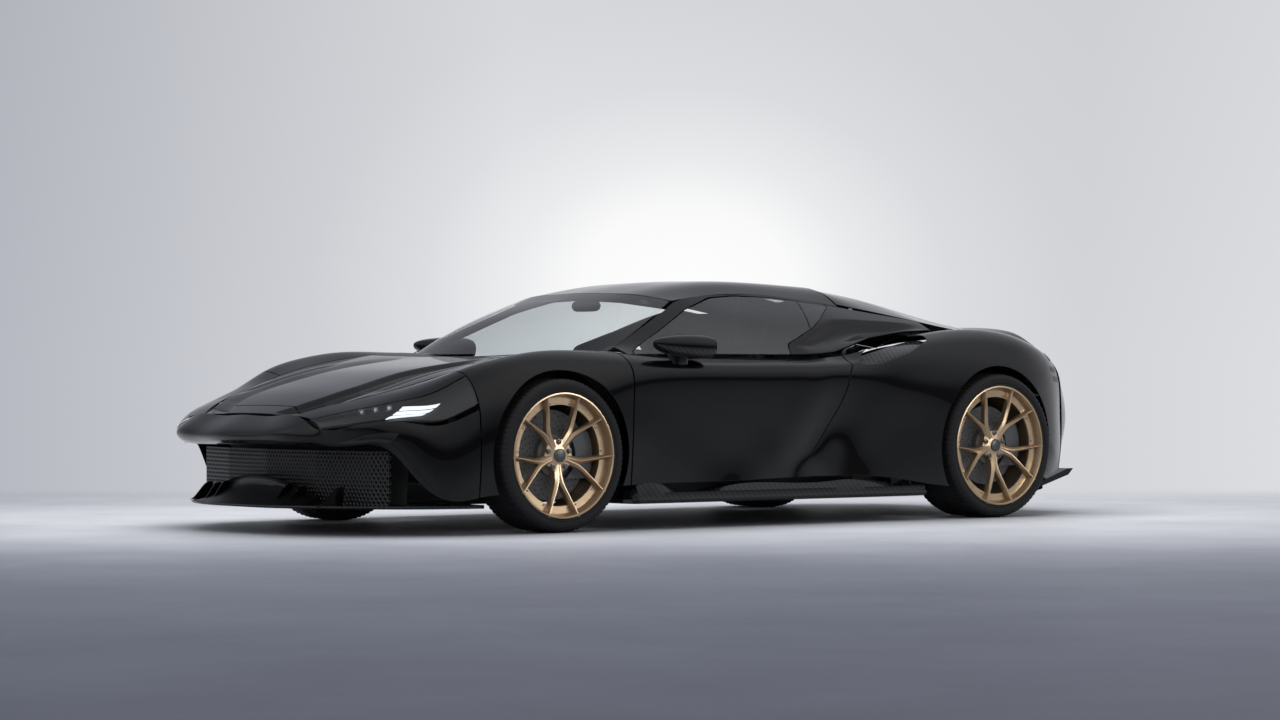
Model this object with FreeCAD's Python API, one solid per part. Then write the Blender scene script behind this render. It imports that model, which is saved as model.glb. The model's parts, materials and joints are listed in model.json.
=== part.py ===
"""A mid-engined two-seat hypercar, built as an assembly of separate pieces.

Frame: X forward, Y to the left, Z up, millimetres. The origin lies on the ground under the
middle of the car. Body surfaces are drawn as tables of shares: along the car a share of half
the body's length, across it a share of half the span over the mirrors, and upwards a share of
the roof's height.
"""
import FreeCAD
import Part
import math
import os

Vector = FreeCAD.Vector

doc = FreeCAD.newDocument("Hypercar")
sheet = doc.addObject("Spreadsheet::Sheet", "Sizes")

# Driving dimensions
DRIVING = [
    ("body_length", 4710), ("mirror_span", 2000), ("roof_height", 1140),
    ("arch_play", 36), ("liner_play", 35), ("disc_thickness", 34),
    ("skin_thickness", 6), ("glass_thickness", 5), ("shut_gap", 5), ("door_front_gap", 8),
    ("seat_gap", 0.3), ("pin_play", 0.1),
    ("cut_overrun", 60), ("floor_height", 115), ("floor_thickness", 22),
]
for row, (alias, amount) in enumerate(DRIVING, start=1):
    sheet.set("A%d" % row, alias)
    sheet.set("B%d" % row, str(amount))
    sheet.setAlias("B%d" % row, alias)
doc.recompute()


def size(alias):
    """The value of one driving dimension."""
    return float(sheet.get(alias))


FRONT_AXLE_SHARE, REAR_AXLE_SHARE = .5074, -.6178
FRONT_TYRE_SHARE, REAR_TYRE_SHARE = .2965, .3053
FRONT_LIP_SHARE, REAR_LIP_SHARE = .2430, .2535
FRONT_DISC_SHARE, REAR_DISC_SHARE = .1746, .1667
FRONT_FACE_SHARE, REAR_FACE_SHARE = .967, .983
FRONT_WIDE_SHARE, REAR_WIDE_SHARE = .255, .315
HALF_LENGTH = size("body_length") / 2
HALF_SPAN = size("mirror_span") / 2
HEIGHT = size("roof_height")
SKIN = size("skin_thickness")
GAP = size("shut_gap")
SEAT = size("seat_gap")
PLAY = size("pin_play")
OVER = size("cut_overrun")
FRONT_X = HALF_LENGTH * FRONT_AXLE_SHARE
REAR_X = HALF_LENGTH * REAR_AXLE_SHARE
ACROSS = Vector(0, 1, 0)
UP = Vector(0, 0, 1)
AHEAD = Vector(1, 0, 0)
LEFT, RIGHT = 1, -1
PIN_SMALL = 6
FLOOR_LOW = size("floor_height")
FLOOR_TOP = FLOOR_LOW + size("floor_thickness")
SIDES = [("left", LEFT), ("right", RIGHT)]
made = []


def at(x_share, y_share, z_share):
    """A point of the body from its three shares."""
    return Vector(x_share * HALF_LENGTH, y_share * HALF_SPAN, z_share * HEIGHT)


def section(x_share, outline_shares):
    """One cross section: points at one station along the car."""
    return [at(x_share, y_share, z_share) for y_share, z_share in outline_shares]


def mirrored_points(points):
    """The same points on the other side of the car."""
    return [Vector(p.x, -p.y, p.z) for p in points]


def whole_rows(half_rows):
    """Rows that run from the left edge to the centre line, carried on to the right edge."""
    return [row + mirrored_points(row[:-1])[::-1] for row in half_rows]


def chord_places(rows):
    """Places from nought to one along a family of rows, spaced by the mean distance between points."""
    steps = [0.0] * (len(rows[0]) - 1)
    for row in rows:
        lengths = [(end - start).Length for start, end in zip(row, row[1:])]
        for place, length in enumerate(lengths):
            steps[place] += length / sum(lengths) / len(rows)
    places = [0.0]
    for step in steps:
        places.append(places[-1] + step)
    return places


def slopes(places, points):
    """Slopes at the points of the smoothest cubic curve through them."""
    count = len(points)
    gaps = [end - start for start, end in zip(places, places[1:])]
    rises = [(end - start) * (1 / gap) for start, end, gap in zip(points, points[1:], gaps)]
    lower = [0.0] + [1 / gap for gap in gaps[:-1]] + [1.0]
    upper = [1.0] + [1 / gap for gap in gaps[1:]] + [0.0]
    middle = [2.0] + [2 / before + 2 / after for before, after in zip(gaps, gaps[1:])] + [2.0]
    right = [rises[0] * 3]
    right += [before * (3 / gap) + after * (3 / beyond)
              for before, after, gap, beyond in zip(rises, rises[1:], gaps, gaps[1:])]
    right.append(rises[-1] * 3)
    for row in range(1, count):
        factor = lower[row] / middle[row - 1]
        middle[row] -= factor * upper[row - 1]
        right[row] = right[row] - right[row - 1] * factor
    answer = [right[-1] * (1 / middle[-1])]
    for row in range(count - 2, -1, -1):
        answer.insert(0, (right[row] - answer[0] * upper[row]) * (1 / middle[row]))
    return answer


def control_row(places, points):
    """Control points of that curve, three for each span and one more."""
    tilts = slopes(places, points)
    controls = [points[0]]
    for place in range(len(points) - 1):
        third = (places[place + 1] - places[place]) / 3
        controls.append(points[place] + tilts[place] * third)
        controls.append(points[place + 1] - tilts[place + 1] * third)
        controls.append(points[place + 1])
    return controls


def smooth_patch(rows):
    """A smooth surface through a grid of points, the same for every tool that uses these rules."""
    columns = [list(column) for column in zip(*rows)]
    around = chord_places(rows)
    along = chord_places(columns)
    wide = [control_row(around, row) for row in rows]
    tall = [control_row(along, list(column)) for column in zip(*wide)]
    poles = [list(row) for row in zip(*tall)]
    along_repeats = [4] + [3] * (len(along) - 2) + [4]
    around_repeats = [4] + [3] * (len(around) - 2) + [4]
    patch = Part.BSplineSurface()
    patch.buildFromPolesMultsKnots(poles, along_repeats, around_repeats, along, around, False, False, 3, 3)
    for knot in range(2, len(along)):
        patch.removeUKnot(knot, 1, SEAT)
    for knot in range(2, len(around)):
        patch.removeVKnot(knot, 1, SEAT)
    return patch


def surface(rows):
    """A smooth face through a grid of points."""
    return smooth_patch(rows).toShape()


def prism(points, direction, reach):
    """A solid that cuts through whatever lies along a direction within an outline."""
    along = Vector(direction)
    along.normalize()
    middle = points[0]
    flat = [p - along * (p - middle).dot(along) for p in points]
    wire = Part.makePolygon(flat + [flat[0]])
    face = Part.Face(wire)
    face.translate(along * -reach)
    return face.extrude(along * (reach + reach))


def opposite(shape):
    """The mirror image of a left-hand shape."""
    return shape.mirror(Vector(0, 0, 0), ACROSS)


def largest(shape):
    """The biggest solid of a shape, which drops slivers left by a cut."""
    return max(shape.Solids, key=lambda solid: solid.Volume)


def keep(label, shape, place=None):
    """Put a shape into the document as a piece with its own label and placement."""
    piece = doc.addObject("Part::Feature", label)
    piece.Label = label
    piece.Shape = shape
    piece.Placement = place or shape.Placement
    made.append(piece)
    return piece


def box(low, high):
    """A box between two opposite corners."""
    return Part.makeBox(high.x - low.x, high.y - low.y, high.z - low.z, low)


def rod(start, end, radius):
    """A round bar between two points."""
    return Part.makeCylinder(radius, (end - start).Length, start, end - start)


def together(shapes):
    """One solid from several that meet."""
    return shapes[0].multiFuse(shapes[1:]).removeSplitter()


# The side of the body, from the nose to the tail, each section from its sill up to the inner edge
SIDE_SHARES = [
    (0.943, [(.500, .338), (.545, .351), (.566, .368), (.572, .389), (.562, .409), (.530, .426),
             (.460, .441), (.360, .448)]),
    (0.900, [(.655, .332), (.685, .351), (.695, .379), (.700, .404), (.685, .430), (.645, .452),
             (.560, .471), (.440, .482)]),
    (0.849, [(.765, .325), (.785, .351), (.790, .382), (.786, .417), (.768, .447), (.725, .475),
             (.650, .498), (.520, .511)]),
    (0.805, [(.835, .211), (.850, .281), (.852, .342), (.848, .395), (.822, .447), (.780, .487),
             (.705, .523), (.570, .536)]),
    (0.764, [(.885, .140), (.892, .228), (.892, .316), (.885, .386), (.865, .447), (.825, .500),
             (.750, .548), (.610, .559)]),
    (0.679, [(.925, .145), (.937, .254), (.940, .360), (.935, .447), (.915, .522), (.870, .583),
             (.790, .627), (.650, .610)]),
    (0.594, [(.945, .149), (.958, .263), (.963, .368), (.958, .474), (.940, .557), (.895, .627),
             (.810, .674), (.680, .649)]),
    (0.510, [(.950, .158), (.963, .272), (.967, .386), (.964, .491), (.948, .575), (.905, .645),
             (.815, .697), (.700, .675)]),
    (0.425, [(.945, .167), (.957, .272), (.962, .386), (.962, .500), (.950, .588), (.910, .651),
             (.825, .697), (.720, .693)]),
    (0.340, [(.932, .175), (.940, .272), (.948, .386), (.953, .509), (.950, .605), (.920, .651),
             (.850, .686), (.760, .697)]),
    (0.212, [(.928, .180), (.932, .272), (.938, .386), (.950, .518), (.951, .618), (.927, .647),
             (.885, .664), (.835, .677)]),
    (0.042, [(.929, .184), (.930, .272), (.937, .386), (.951, .518), (.952, .618), (.928, .645),
             (.888, .660), (.845, .674)]),
    (-0.040, [(.921, .188), (.928, .272), (.937, .386), (.951, .518), (.952, .618), (.929, .645),
              (.890, .660), (.847, .672)]),
    (-0.085, [(.916, .190), (.915, .272), (.935, .386), (.952, .518), (.953, .618), (.930, .645),
              (.891, .660), (.849, .671)]),
    (-0.127, [(.932, .193), (.911, .273), (.924, .387), (.951, .518), (.953, .618), (.930, .645),
              (.892, .660), (.850, .671)]),
    (-0.165, [(.939, .193), (.925, .276), (.920, .390), (.947, .518), (.954, .617), (.933, .645),
              (.896, .661), (.853, .675)]),
    (-0.221, [(.942, .193), (.938, .281), (.938, .395), (.952, .518), (.957, .614), (.940, .645),
              (.905, .662), (.860, .684)]),
    (-0.340, [(.950, .175), (.952, .281), (.957, .404), (.967, .526), (.965, .614), (.955, .671),
              (.920, .706), (.850, .737)]),
    (-0.467, [(.965, .140), (.970, .263), (.975, .395), (.977, .526), (.965, .640), (.935, .719),
              (.850, .768), (.740, .776)]),
    (-0.594, [(.970, .140), (.977, .263), (.980, .404), (.978, .535), (.960, .654), (.920, .737),
              (.820, .794), (.700, .789)]),
    (-0.722, [(.935, .158), (.950, .272), (.958, .404), (.955, .526), (.930, .640), (.885, .724),
              (.790, .776), (.660, .776)]),
    (-0.807, [(.870, .175), (.895, .272), (.900, .404), (.890, .526), (.865, .623), (.820, .693),
              (.730, .737), (.600, .750)]),
    (-0.862, [(.800, .193), (.815, .281), (.815, .404), (.810, .526), (.790, .614), (.745, .671),
              (.660, .711), (.540, .728)]),
]
side_rows = [section(x_share, outline) for x_share, outline in SIDE_SHARES]

# The bonnet between the wings, from its front edge to the windscreen, left edge to centre line
BONNET_SHARES = [
    (0.943, [(.360, .448), (.240, .450), (.120, .452), (0, .453)]),
    (0.849, [(.520, .511), (.350, .522), (.180, .528), (0, .530)]),
    (0.764, [(.610, .559), (.410, .570), (.200, .577), (0, .579)]),
    (0.679, [(.650, .610), (.440, .614), (.220, .618), (0, .619)]),
    (0.594, [(.680, .649), (.460, .646), (.230, .646), (0, .646)]),
    (0.510, [(.700, .675), (.470, .669), (.240, .667), (0, .667)]),
    (0.425, [(.720, .693), (.480, .690), (.240, .687), (0, .686)]),
    (0.340, [(.760, .697), (.510, .700), (.250, .702), (0, .703)]),
]
bonnet_rows = whole_rows([section(x_share, outline) for x_share, outline in BONNET_SHARES])

# The front bumper's profiles round the nose, from the lamp's tip to the centre line
NOSE_SHARES = [
    [(.955, .430, .337), (.969, .452, .354), (.975, .462, .383), (.962, .455, .415), (.944, .440, .443)],
    [(.963, .250, .336), (.981, .262, .353), (.989, .270, .379), (.971, .245, .417), (.945, .230, .450)],
    [(.972, 0, .338), (.991, 0, .353), (1, 0, .377), (.980, 0, .415), (.947, 0, .453)],
]
nose_half = [[at(*share) for share in row] for row in NOSE_SHARES]

# The side of the cabin above the belt, each section from the belt up to the roof rail
CABIN_SIDE_SHARES = [
    (0.318, [(.845, .686), (.815, .697), (.780, .706), (.738, .716)]),
    (0.212, [(.840, .680), (.800, .720), (.745, .766), (.673, .822)]),
    (0.106, [(.845, .677), (.785, .752), (.705, .830), (.600, .909)]),
    (0, [(.848, .675), (.790, .759), (.710, .842), (.575, .932)]),
    (-0.106, [(.850, .674), (.785, .763), (.700, .846), (.565, .937)]),
    (-0.212, [(.860, .680), (.785, .763), (.700, .838), (.570, .921)]),
    (-0.318, [(.860, .719), (.780, .772), (.700, .825), (.580, .890)]),
    (-0.425, [(.800, .768), (.740, .789), (.680, .820), (.600, .860)]),
    (-0.531, [(.730, .776), (.700, .794), (.660, .811), (.610, .833)]),
]
cabin_rows = [section(x_share, outline) for x_share, outline in CABIN_SIDE_SHARES]

# The windscreen, from its base to its header, left edge to centre line
SCREEN_SHARES = [
    [(.340, .745, .692), (.391, .550, .690), (.425, .300, .689), (.437, 0, .689)],
    [(.270, .715, .762), (.327, .530, .768), (.357, .290, .772), (.367, 0, .774)],
    [(.200, .665, .834), (.247, .490, .848), (.272, .270, .856), (.280, 0, .859)],
    [(.130, .600, .904), (.149, .440, .927), (.157, .240, .938), (.159, 0, .942)],
]
screen_rows = whole_rows([[at(*share) for share in row] for row in SCREEN_SHARES])

# The roof, from the header to the engine cover, left rail to centre line
ROOF_SHARES = [
    [(.1265, .602, .9055), (.1455, .440, .9285), (.1535, .240, .9390), (.1555, 0, .9430)],
    [(0, .575, .934), (0, .450, .973), (0, .240, .988), (0, 0, .991)],
    [(-.149, .567, .932), (-.149, .450, .977), (-.149, .240, .996), (-.149, 0, 1)],
    [(-.318, .580, .892), (-.318, .450, .955), (-.318, .240, .982), (-.318, 0, .991)],
]
roof_rows = whole_rows([[at(*share) for share in row] for row in ROOF_SHARES])

# The engine deck behind the roof, left edge to centre line
DECK_SHARES = [
    (-.318, [(.580, .892), (.450, .955), (.240, .982), (0, .991)]),
    (-.425, [(.600, .862), (.430, .917), (.240, .956), (0, .969)]),
    (-.531, [(.620, .828), (.430, .877), (.240, .921), (0, .939)]),
    (-.637, [(.680, .791), (.450, .825), (.250, .873), (0, .895)]),
    (-.743, [(.650, .772), (.450, .794), (.250, .829), (0, .846)]),
    (-.862, [(.540, .728), (.420, .768), (.250, .794), (0, .807)]),
]
deck_rows = whole_rows([section(x_share, outline) for x_share, outline in DECK_SHARES])

# The tail, from one corner round to the other, each profile from the diffuser up to the deck
TAIL_SHARES = [
    [(-.865, .797, .193), (-.866, .811, .290), (-.868, .811, .404), (-.868, .806, .526),
     (-.866, .786, .620), (-.865, .705, .692)],
    [(-.883, .700, .193), (-.904, .715, .290), (-.921, .715, .412), (-.917, .700, .535),
     (-.896, .680, .632), (-.875, .600, .720)],
    [(-.917, .500, .193), (-.943, .510, .290), (-.960, .510, .421), (-.955, .500, .543),
     (-.930, .480, .645), (-.902, .430, .745)],
    [(-.943, .250, .193), (-.968, .250, .290), (-.989, .250, .421), (-.981, .250, .548),
     (-.951, .240, .658), (-.920, .220, .763)],
    [(-.951, 0, .193), (-.977, 0, .290), (-1, 0, .421), (-.989, 0, .552), (-.960, 0, .667),
     (-.927, 0, .772)],
]
tail_half = [[at(*share) for share in row] for row in TAIL_SHARES]
tail_rows = tail_half + [mirrored_points(row) for row in tail_half[:-1]][::-1]


def outline(points_shares, y_share=1.0):
    """Points of a cut outline drawn in side view."""
    return [at(x_share, y_share, z_share) for x_share, z_share in points_shares]


def plan(points_shares, z_share=0.5):
    """Points of a cut outline drawn in plan view."""
    return [at(x_share, y_share, z_share) for x_share, y_share in points_shares]


def grown(points, amount):
    """An outline moved out from its centre by a real distance."""
    centre = Vector(0, 0, 0)
    for point in points:
        centre = centre + point * (1 / len(points))
    moved = []
    for point in points:
        away = point - centre
        moved.append(point + away * (amount / away.Length))
    return moved


def panel(face, inward):
    """A panel of one thickness, swept inwards from its outer face."""
    return face.extrude(inward)


FRONT_TYRE, REAR_TYRE = HEIGHT * FRONT_TYRE_SHARE, HEIGHT * REAR_TYRE_SHARE
FRONT_WIDE, REAR_WIDE = HALF_SPAN * FRONT_WIDE_SHARE, HALF_SPAN * REAR_WIDE_SHARE
FRONT_WHEEL = Vector(FRONT_X, HALF_SPAN * FRONT_FACE_SHARE - FRONT_WIDE / 2, FRONT_TYRE)
REAR_WHEEL = Vector(REAR_X, HALF_SPAN * REAR_FACE_SHARE - REAR_WIDE / 2, REAR_TYRE)
ARCH_INNER_SHARE = 0.53


def arch(wheel, radius):
    """The round cut that a wheel stands in, open to the outside."""
    inner = Vector(wheel.x, HALF_SPAN * ARCH_INNER_SHARE, wheel.z)
    return Part.makeCylinder(radius, HALF_SPAN, inner, ACROSS)


front_arch = arch(FRONT_WHEEL, FRONT_TYRE + size("arch_play"))
rear_arch = arch(REAR_WHEEL, REAR_TYRE + size("arch_play"))



class Master:
    """A surface through a table of sections, read at any station and level of that table."""

    def __init__(self, stations, rows):
        self.stations = stations
        self.patch = smooth_patch(rows)
        self.along = self.patch.getUKnots()
        self.around = self.patch.getVKnots()

    def point(self, station, level):
        place = 0
        while place < len(self.stations) - 2 and station < self.stations[place + 1]:
            place += 1
        part = (station - self.stations[place]) / (self.stations[place + 1] - self.stations[place])
        u = self.along[place] + part * (self.along[place + 1] - self.along[place])
        step = min(int(level), len(self.around) - 2)
        v = self.around[step] + (level - step) * (self.around[step + 1] - self.around[step])
        return self.patch.value(u, v)

    def between(self, spans, count=7):
        """A grid of points on the surface: each span runs from one (station, level) to another."""
        rows = []
        for start, end in spans:
            row = []
            for step in range(count):
                part = step / (count - 1)
                station = start[0] + part * (end[0] - start[0])
                level = start[1] + part * (end[1] - start[1])
                row.append(self.point(station, level))
            rows.append(row)
        return rows


side = Master([x_share for x_share, outline in SIDE_SHARES], side_rows)
bonnet_master = Master([x_share for x_share, outline in BONNET_SHARES], bonnet_rows)
cabin = Master([x_share for x_share, outline in CABIN_SIDE_SHARES], cabin_rows)
deck_master = Master([x_share for x_share, outline in DECK_SHARES], deck_rows)
SKIN_IN = Vector(0, -SKIN, -SKIN)
SKIN_DOWN = Vector(0, 0, -SKIN)
GLASS_IN = Vector(0, -size("glass_thickness"), -size("glass_thickness"))
GAP_SHARE = GAP / HALF_LENGTH
FRONT_GAP_SHARE = size("door_front_gap") / HALF_LENGTH
SIDE_TOP = 7
LAMP_LOW, LAMP_HIGH = 3.55, 5.55
WING_FRONT_SHARE, NOSE_SHARE, DOOR_FRONT_SHARE, TAIL_SHARE = .690, .943, .338, -.862
DOOR_REAR_SHARES = [-.072, -.118, -.160, -.195, -.210, -.220, -.221, -.223]
QUARTER_REAR_SHARES = [-.860, -.860, -.860, -.860, -.860, -.860, -.858, -.856]


def pair(label, shape):
    """The same piece on the left and, mirrored, on the right."""
    return [keep(label + "_left", shape), keep(label + "_right", opposite(shape))]


def both(shapes):
    """Left-hand solids and their mirror images, which share a node."""
    return Part.makeCompound(shapes + [opposite(shape) for shape in shapes])


def level_spans(front_shares, rear_shares):
    return [((front, level), (rear, level)) for level,
            (front, rear) in enumerate(zip(front_shares, rear_shares))]


# Front wings
wing_spans = level_spans([WING_FRONT_SHARE] * 8, [DOOR_FRONT_SHARE + FRONT_GAP_SHARE] * 8)
wing = panel(surface(side.between(wing_spans, 9)), SKIN_IN).cut(front_arch)
pair("front_wing", largest(wing))

# Headlamps, one smooth cover each
lamp_spans = [((NOSE_SHARE - GAP_SHARE, level), (WING_FRONT_SHARE + GAP_SHARE, level))
              for level in (3.85, 4.4, 5, LAMP_HIGH)]
lamp = panel(surface(side.between(lamp_spans, 5)), SKIN_IN)
keep("headlamps", both([lamp]))

# Front bumper, one skin round the nose from wheel to wheel, and the panels inboard of the lamps
corner_levels = (0, 1, 2, 3, LAMP_LOW)
corner_stations = (WING_FRONT_SHARE + GAP_SHARE, .73, .77, .81, .85, .90, NOSE_SHARE)
corner_rows = [[side.point(station, level) for level in corner_levels] for station in corner_stations]
bumper_left = corner_rows + nose_half
bumper_rows = bumper_left + [mirrored_points(row) for row in bumper_left[:-1]][::-1]
bumper = surface(bumper_rows).makeOffsetShape(SKIN, SEAT, fill=True)
keep("front_bumper", bumper)
brow_spans = [((NOSE_SHARE - GAP_SHARE * 2, level), (WING_FRONT_SHARE + GAP_SHARE,
                                                     level)) for level in (LAMP_HIGH + .12, 6.2, SIDE_TOP)]
brow = panel(surface(side.between(brow_spans, 5)), SKIN_IN)
keep("nose_side_panels", both([brow]))

# Bonnet lid, hinged on two pins at its rear edge, and the fixed cowl panel behind it
LID_REAR_SHARE, LID_FRONT_SHARE = .460, .936
LID_HINGE_AHEAD, LID_HINGE_BELOW, LID_EYE, LUG_THICK = 34, 22, 12, 12
COWL_GAP_SHARE = .005
COWL_SHARES = [(.358, 0.03), (.406, 1), (.440, 2), (.452, 3), (.440, 4), (.406, 5), (.358, 5.97)]
CORNER_SPANS = [((.338, 6.12), (.338, 7)), ((.290, 6.40), (.290, 7)), ((.240, 6.75), (.240, 7)),
                ((.222, 6.92), (.222, 7))]


def pin_hinge(axis_point, low_y, thick, radius, pin_radius, rise):
    """A lug with its eye on the moving panel and the pin through it, for one side."""
    start = Vector(axis_point.x, low_y, axis_point.z)
    eye = Part.makeCylinder(radius, thick, start, ACROSS)
    neck = box(Vector(axis_point.x - radius * .8, low_y, axis_point.z),
               Vector(axis_point.x + radius * .8, low_y + thick, rise))
    lug = eye.fuse(neck)
    return lug.cut(Part.makeCylinder(pin_radius + PLAY, thick + 2 * thick, start - ACROSS * thick, ACROSS))


lid_stations = (LID_FRONT_SHARE, .88, .80, .72, .64, .56, .50, LID_REAR_SHARE)
lid_spans = [((station, 0.06), (station, 5.94)) for station in lid_stations]
lid = panel(surface(bonnet_master.between(lid_spans, 9)), SKIN_DOWN)
lug_station = LID_REAR_SHARE + LID_HINGE_AHEAD / HALF_LENGTH
lug_level = 1.3
skin_at_lug = bonnet_master.point(lug_station, lug_level)
LID_AXIS = Vector(skin_at_lug.x, 0, skin_at_lug.z - LID_HINGE_BELOW)
lug_y = skin_at_lug.y
lug = pin_hinge(LID_AXIS, lug_y, LUG_THICK, LID_EYE, PIN_SMALL, skin_at_lug.z - SKIN / 2)
lid = lid.multiFuse([lug, opposite(lug)])
keep("bonnet", largest(lid))
cowl_spans = [((LID_REAR_SHARE - COWL_GAP_SHARE, level), (rear, level)) for rear, level in COWL_SHARES]
cowl = panel(surface(bonnet_master.between(cowl_spans, 4)), SKIN_DOWN)
FOOT_SPANS = [((.338, 5.72), (.338, 6.25)), ((.320, 5.74), (.320, 6.30)), ((.303, 5.76), (.303, 6.40))]
corner_panel = panel(surface(side.between(CORNER_SPANS, 4)), SKIN_DOWN)
foot_panel = panel(surface(side.between(FOOT_SPANS, 4)), SKIN_DOWN)
corner_panel = corner_panel.fuse(foot_panel)

DOOR_INNER_SHARE = .845


def column(place, bottom, top, radius):
    """An upright round bar."""
    return Part.makeCylinder(radius, top - bottom, Vector(place.x, place.y, bottom))


# Doors, each hinged on two pins inside its leading edge
HINGE_BACK, HINGE_INBOARD = 90, 50
DOOR_HINGE = Vector(at(DOOR_FRONT_SHARE, 0, 0).x - HINGE_BACK, at(0, .951, 0).y - HINGE_INBOARD, 0)
PIN_RADIUS, EYE_RADIUS, ARM_HALF, ARM_TALL, POCKET_TALL = 7, 16, 12, 40, 60
HINGE_HEIGHTS = [at(0, 0, .26).z, at(0, 0, .52).z]
door_spans = level_spans([DOOR_FRONT_SHARE] * 8, DOOR_REAR_SHARES)
door = panel(surface(side.between(door_spans, 9)), Vector(0, -HALF_SPAN * .2, 0))
door = door.cut(box(at(-1, 0, 0), at(1, DOOR_INNER_SHARE, 1)))
# the door's front top edge is lowered, so that it swings in under the cowl's corner
swing_low, swing_high = at(.2985, .80, .6605), at(.35, .893, .75)
door = door.cut(box(swing_low, swing_high))
tub_posts = []
for height in HINGE_HEIGHTS:
    corner = DOOR_HINGE + UP * height
    pocket_points = [corner + Vector(x, y, 0) for x,
                     y in [(-18, 22), (-18, -90), (120, -90), (120, 8), (14, 22)]]
    pocket = prism(pocket_points, UP, POCKET_TALL / 2)
    door = door.cut(pocket)
    pin = column(corner, height - POCKET_TALL / 2 - PIN_RADIUS, height + POCKET_TALL / 2 + PIN_RADIUS,
                 PIN_RADIUS)
    door = door.fuse(pin)
    arm = box(Vector(corner.x - ARM_HALF, at(0, .74, 0).y, height - ARM_TALL / 2),
              Vector(corner.x + ARM_HALF, corner.y, height + ARM_TALL / 2))
    eye = column(corner, height - ARM_TALL / 2, height + ARM_TALL / 2, EYE_RADIUS)
    bore = column(corner, height - ARM_TALL, height + ARM_TALL, PIN_RADIUS + PLAY)
    tub_posts.append(arm.fuse(eye).cut(bore))
pair("door", largest(door))

# Rear quarters
quarter_spans = level_spans([rear - GAP_SHARE for rear in DOOR_REAR_SHARES], QUARTER_REAR_SHARES)
quarter = panel(surface(side.between(quarter_spans, 11)), SKIN_IN).cut(rear_arch)
INTAKE_SHARES = [(-.240, .93, .640), (-.270, .88, .70), (-.374, .80, .80), (-.425, .79, .80),
                 (-.460, .82, .79),
                 (-.450, .88, .750), (-.374, .94, .69), (-.29, .95, .645)]
intake_zone = prism([at(*share) for share in INTAKE_SHARES], Vector(0, 1, 1), HALF_SPAN * .12)
quarter = quarter.cut(intake_zone)
pair("rear_quarter", largest(quarter))

# Windscreen
screen = surface(screen_rows)
keep("windscreen", panel(screen, Vector(-size("glass_thickness"), 0, -size("glass_thickness"))))

# Roof frame with its pillars and rails
roof = panel(surface(roof_rows), SKIN_DOWN * 2)
rail_spans = [((station, low), (station, high)) for station, low, high in
              [(.318, .0, 2.88), (.265, .25, 2.88), (.212, .16, 2.88), (.16, .16, 2.88), (.125, .16, 3),
               (.05, .16, 3), (-.04, .16, 3),
               (-.127, .16, 3), (-.212, .24, 3), (-.265, .48, 3), (-.318, .75, 3), (-.38, .80, 3),
               (-.45, .90, 3), (-.531, 1.05, 3)]]
rail = panel(surface(cabin.between(rail_spans, 7)), Vector(0, -SKIN * 2, -SKIN))
WINDOW_SHARES = [(.300, .66), (.302, .695), (.21, .775), (.11, .872), (.03, .922), (-.04, .932),
                 (-.144, .925),
                 (-.23, .908), (-.29, .895), (-.25, .86), (-.19, .80), (-.10, .73), (-.09, .62), (.25, .60)]
screen_zone = screen.copy()
screen_zone.translate(Vector(GAP, 0, GAP))
screen_zone = screen_zone.extrude(Vector(-GAP, 0, -GAP) * 4)
rail = largest(rail.cut(screen_zone))
roof = largest(roof.cut(screen_zone))
window_zone = prism(outline(WINDOW_SHARES), ACROSS, HALF_SPAN)
rail_open = largest(rail.cut(window_zone))
corner_panel = largest(corner_panel.cut(rail))
keep("cowl_panel", Part.makeCompound([cowl, corner_panel, opposite(corner_panel)]))
frame = roof.multiFuse([rail_open, opposite(rail_open)])
keep("roof_frame", largest(frame))
glass_zone = prism(grown(outline(WINDOW_SHARES), -GAP * 1.3), ACROSS, HALF_SPAN)
glass = panel(surface(cabin.between(rail_spans[1:-1], 7)), GLASS_IN).common(glass_zone)
roof_zone = roof.copy()
roof_zone.translate(SKIN_DOWN / 2)
glass = glass.cut(roof_zone)
QUARTER_GLASS_SHARES = [(-.205, 1), (-.205, .915), (-.18, .80), (-.18, .6), (-.5, .6), (-.5, 1)]
divider = prism(outline(QUARTER_GLASS_SHARES), ACROSS, HALF_SPAN)
pair("door_glass", largest(glass.cut(divider)))
divider.translate(Vector(-GAP, 0, 0))
tip = largest(glass.common(divider))
keep("quarter_glass", both([tip]))

# Engine cover, its window and the deck round it
deck_spans = [((station, edge), (station, 6 - edge)) for station, edge in
              [(-.322, .15), (-.40, .13), (-.48, .12), (-.56, .12), (-.64, .09), (-.72, .08), (-.80, .08),
               (-.860, .08)]]
deck = panel(surface(deck_master.between(deck_spans, 9)), SKIN_DOWN)
COVER_SHARES = [(-.337, -.35), (-.337, .35), (-.74, .50), (-.74, -.50)]
REAR_WINDOW_SHARES = [(-.35, -.27), (-.35, .27), (-.49, .31), (-.49, -.31)]
COVER_OPENING_SHARES = [(-.330, -.356), (-.330, .356), (-.743, .506), (-.743, -.506)]
cover = largest(deck.common(prism(plan(COVER_SHARES), UP, HEIGHT)))
pane = largest(cover.common(prism(plan(REAR_WINDOW_SHARES), UP, HEIGHT)))
cover = largest(cover.cut(prism(plan(REAR_WINDOW_SHARES), UP, HEIGHT)))
COVER_LUG_SHARE = .31
skin_at_cover = deck_master.point(-.371, 1.68)
COVER_AXIS = Vector(skin_at_cover.x, 0, skin_at_cover.z - LID_HINGE_BELOW)
cover_lug = pin_hinge(COVER_AXIS, at(0, COVER_LUG_SHARE, 0).y, LUG_THICK, PIN_SMALL * 2, PIN_SMALL,
                      skin_at_cover.z - SKIN / 2)
cover = cover.multiFuse([cover_lug, opposite(cover_lug)])
cover = largest(cover)
deck = largest(deck.cut(prism(plan(COVER_OPENING_SHARES), UP, HEIGHT)))
keep("engine_cover", cover)
keep("rear_window", pane)
keep("rear_deck", deck)

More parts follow.
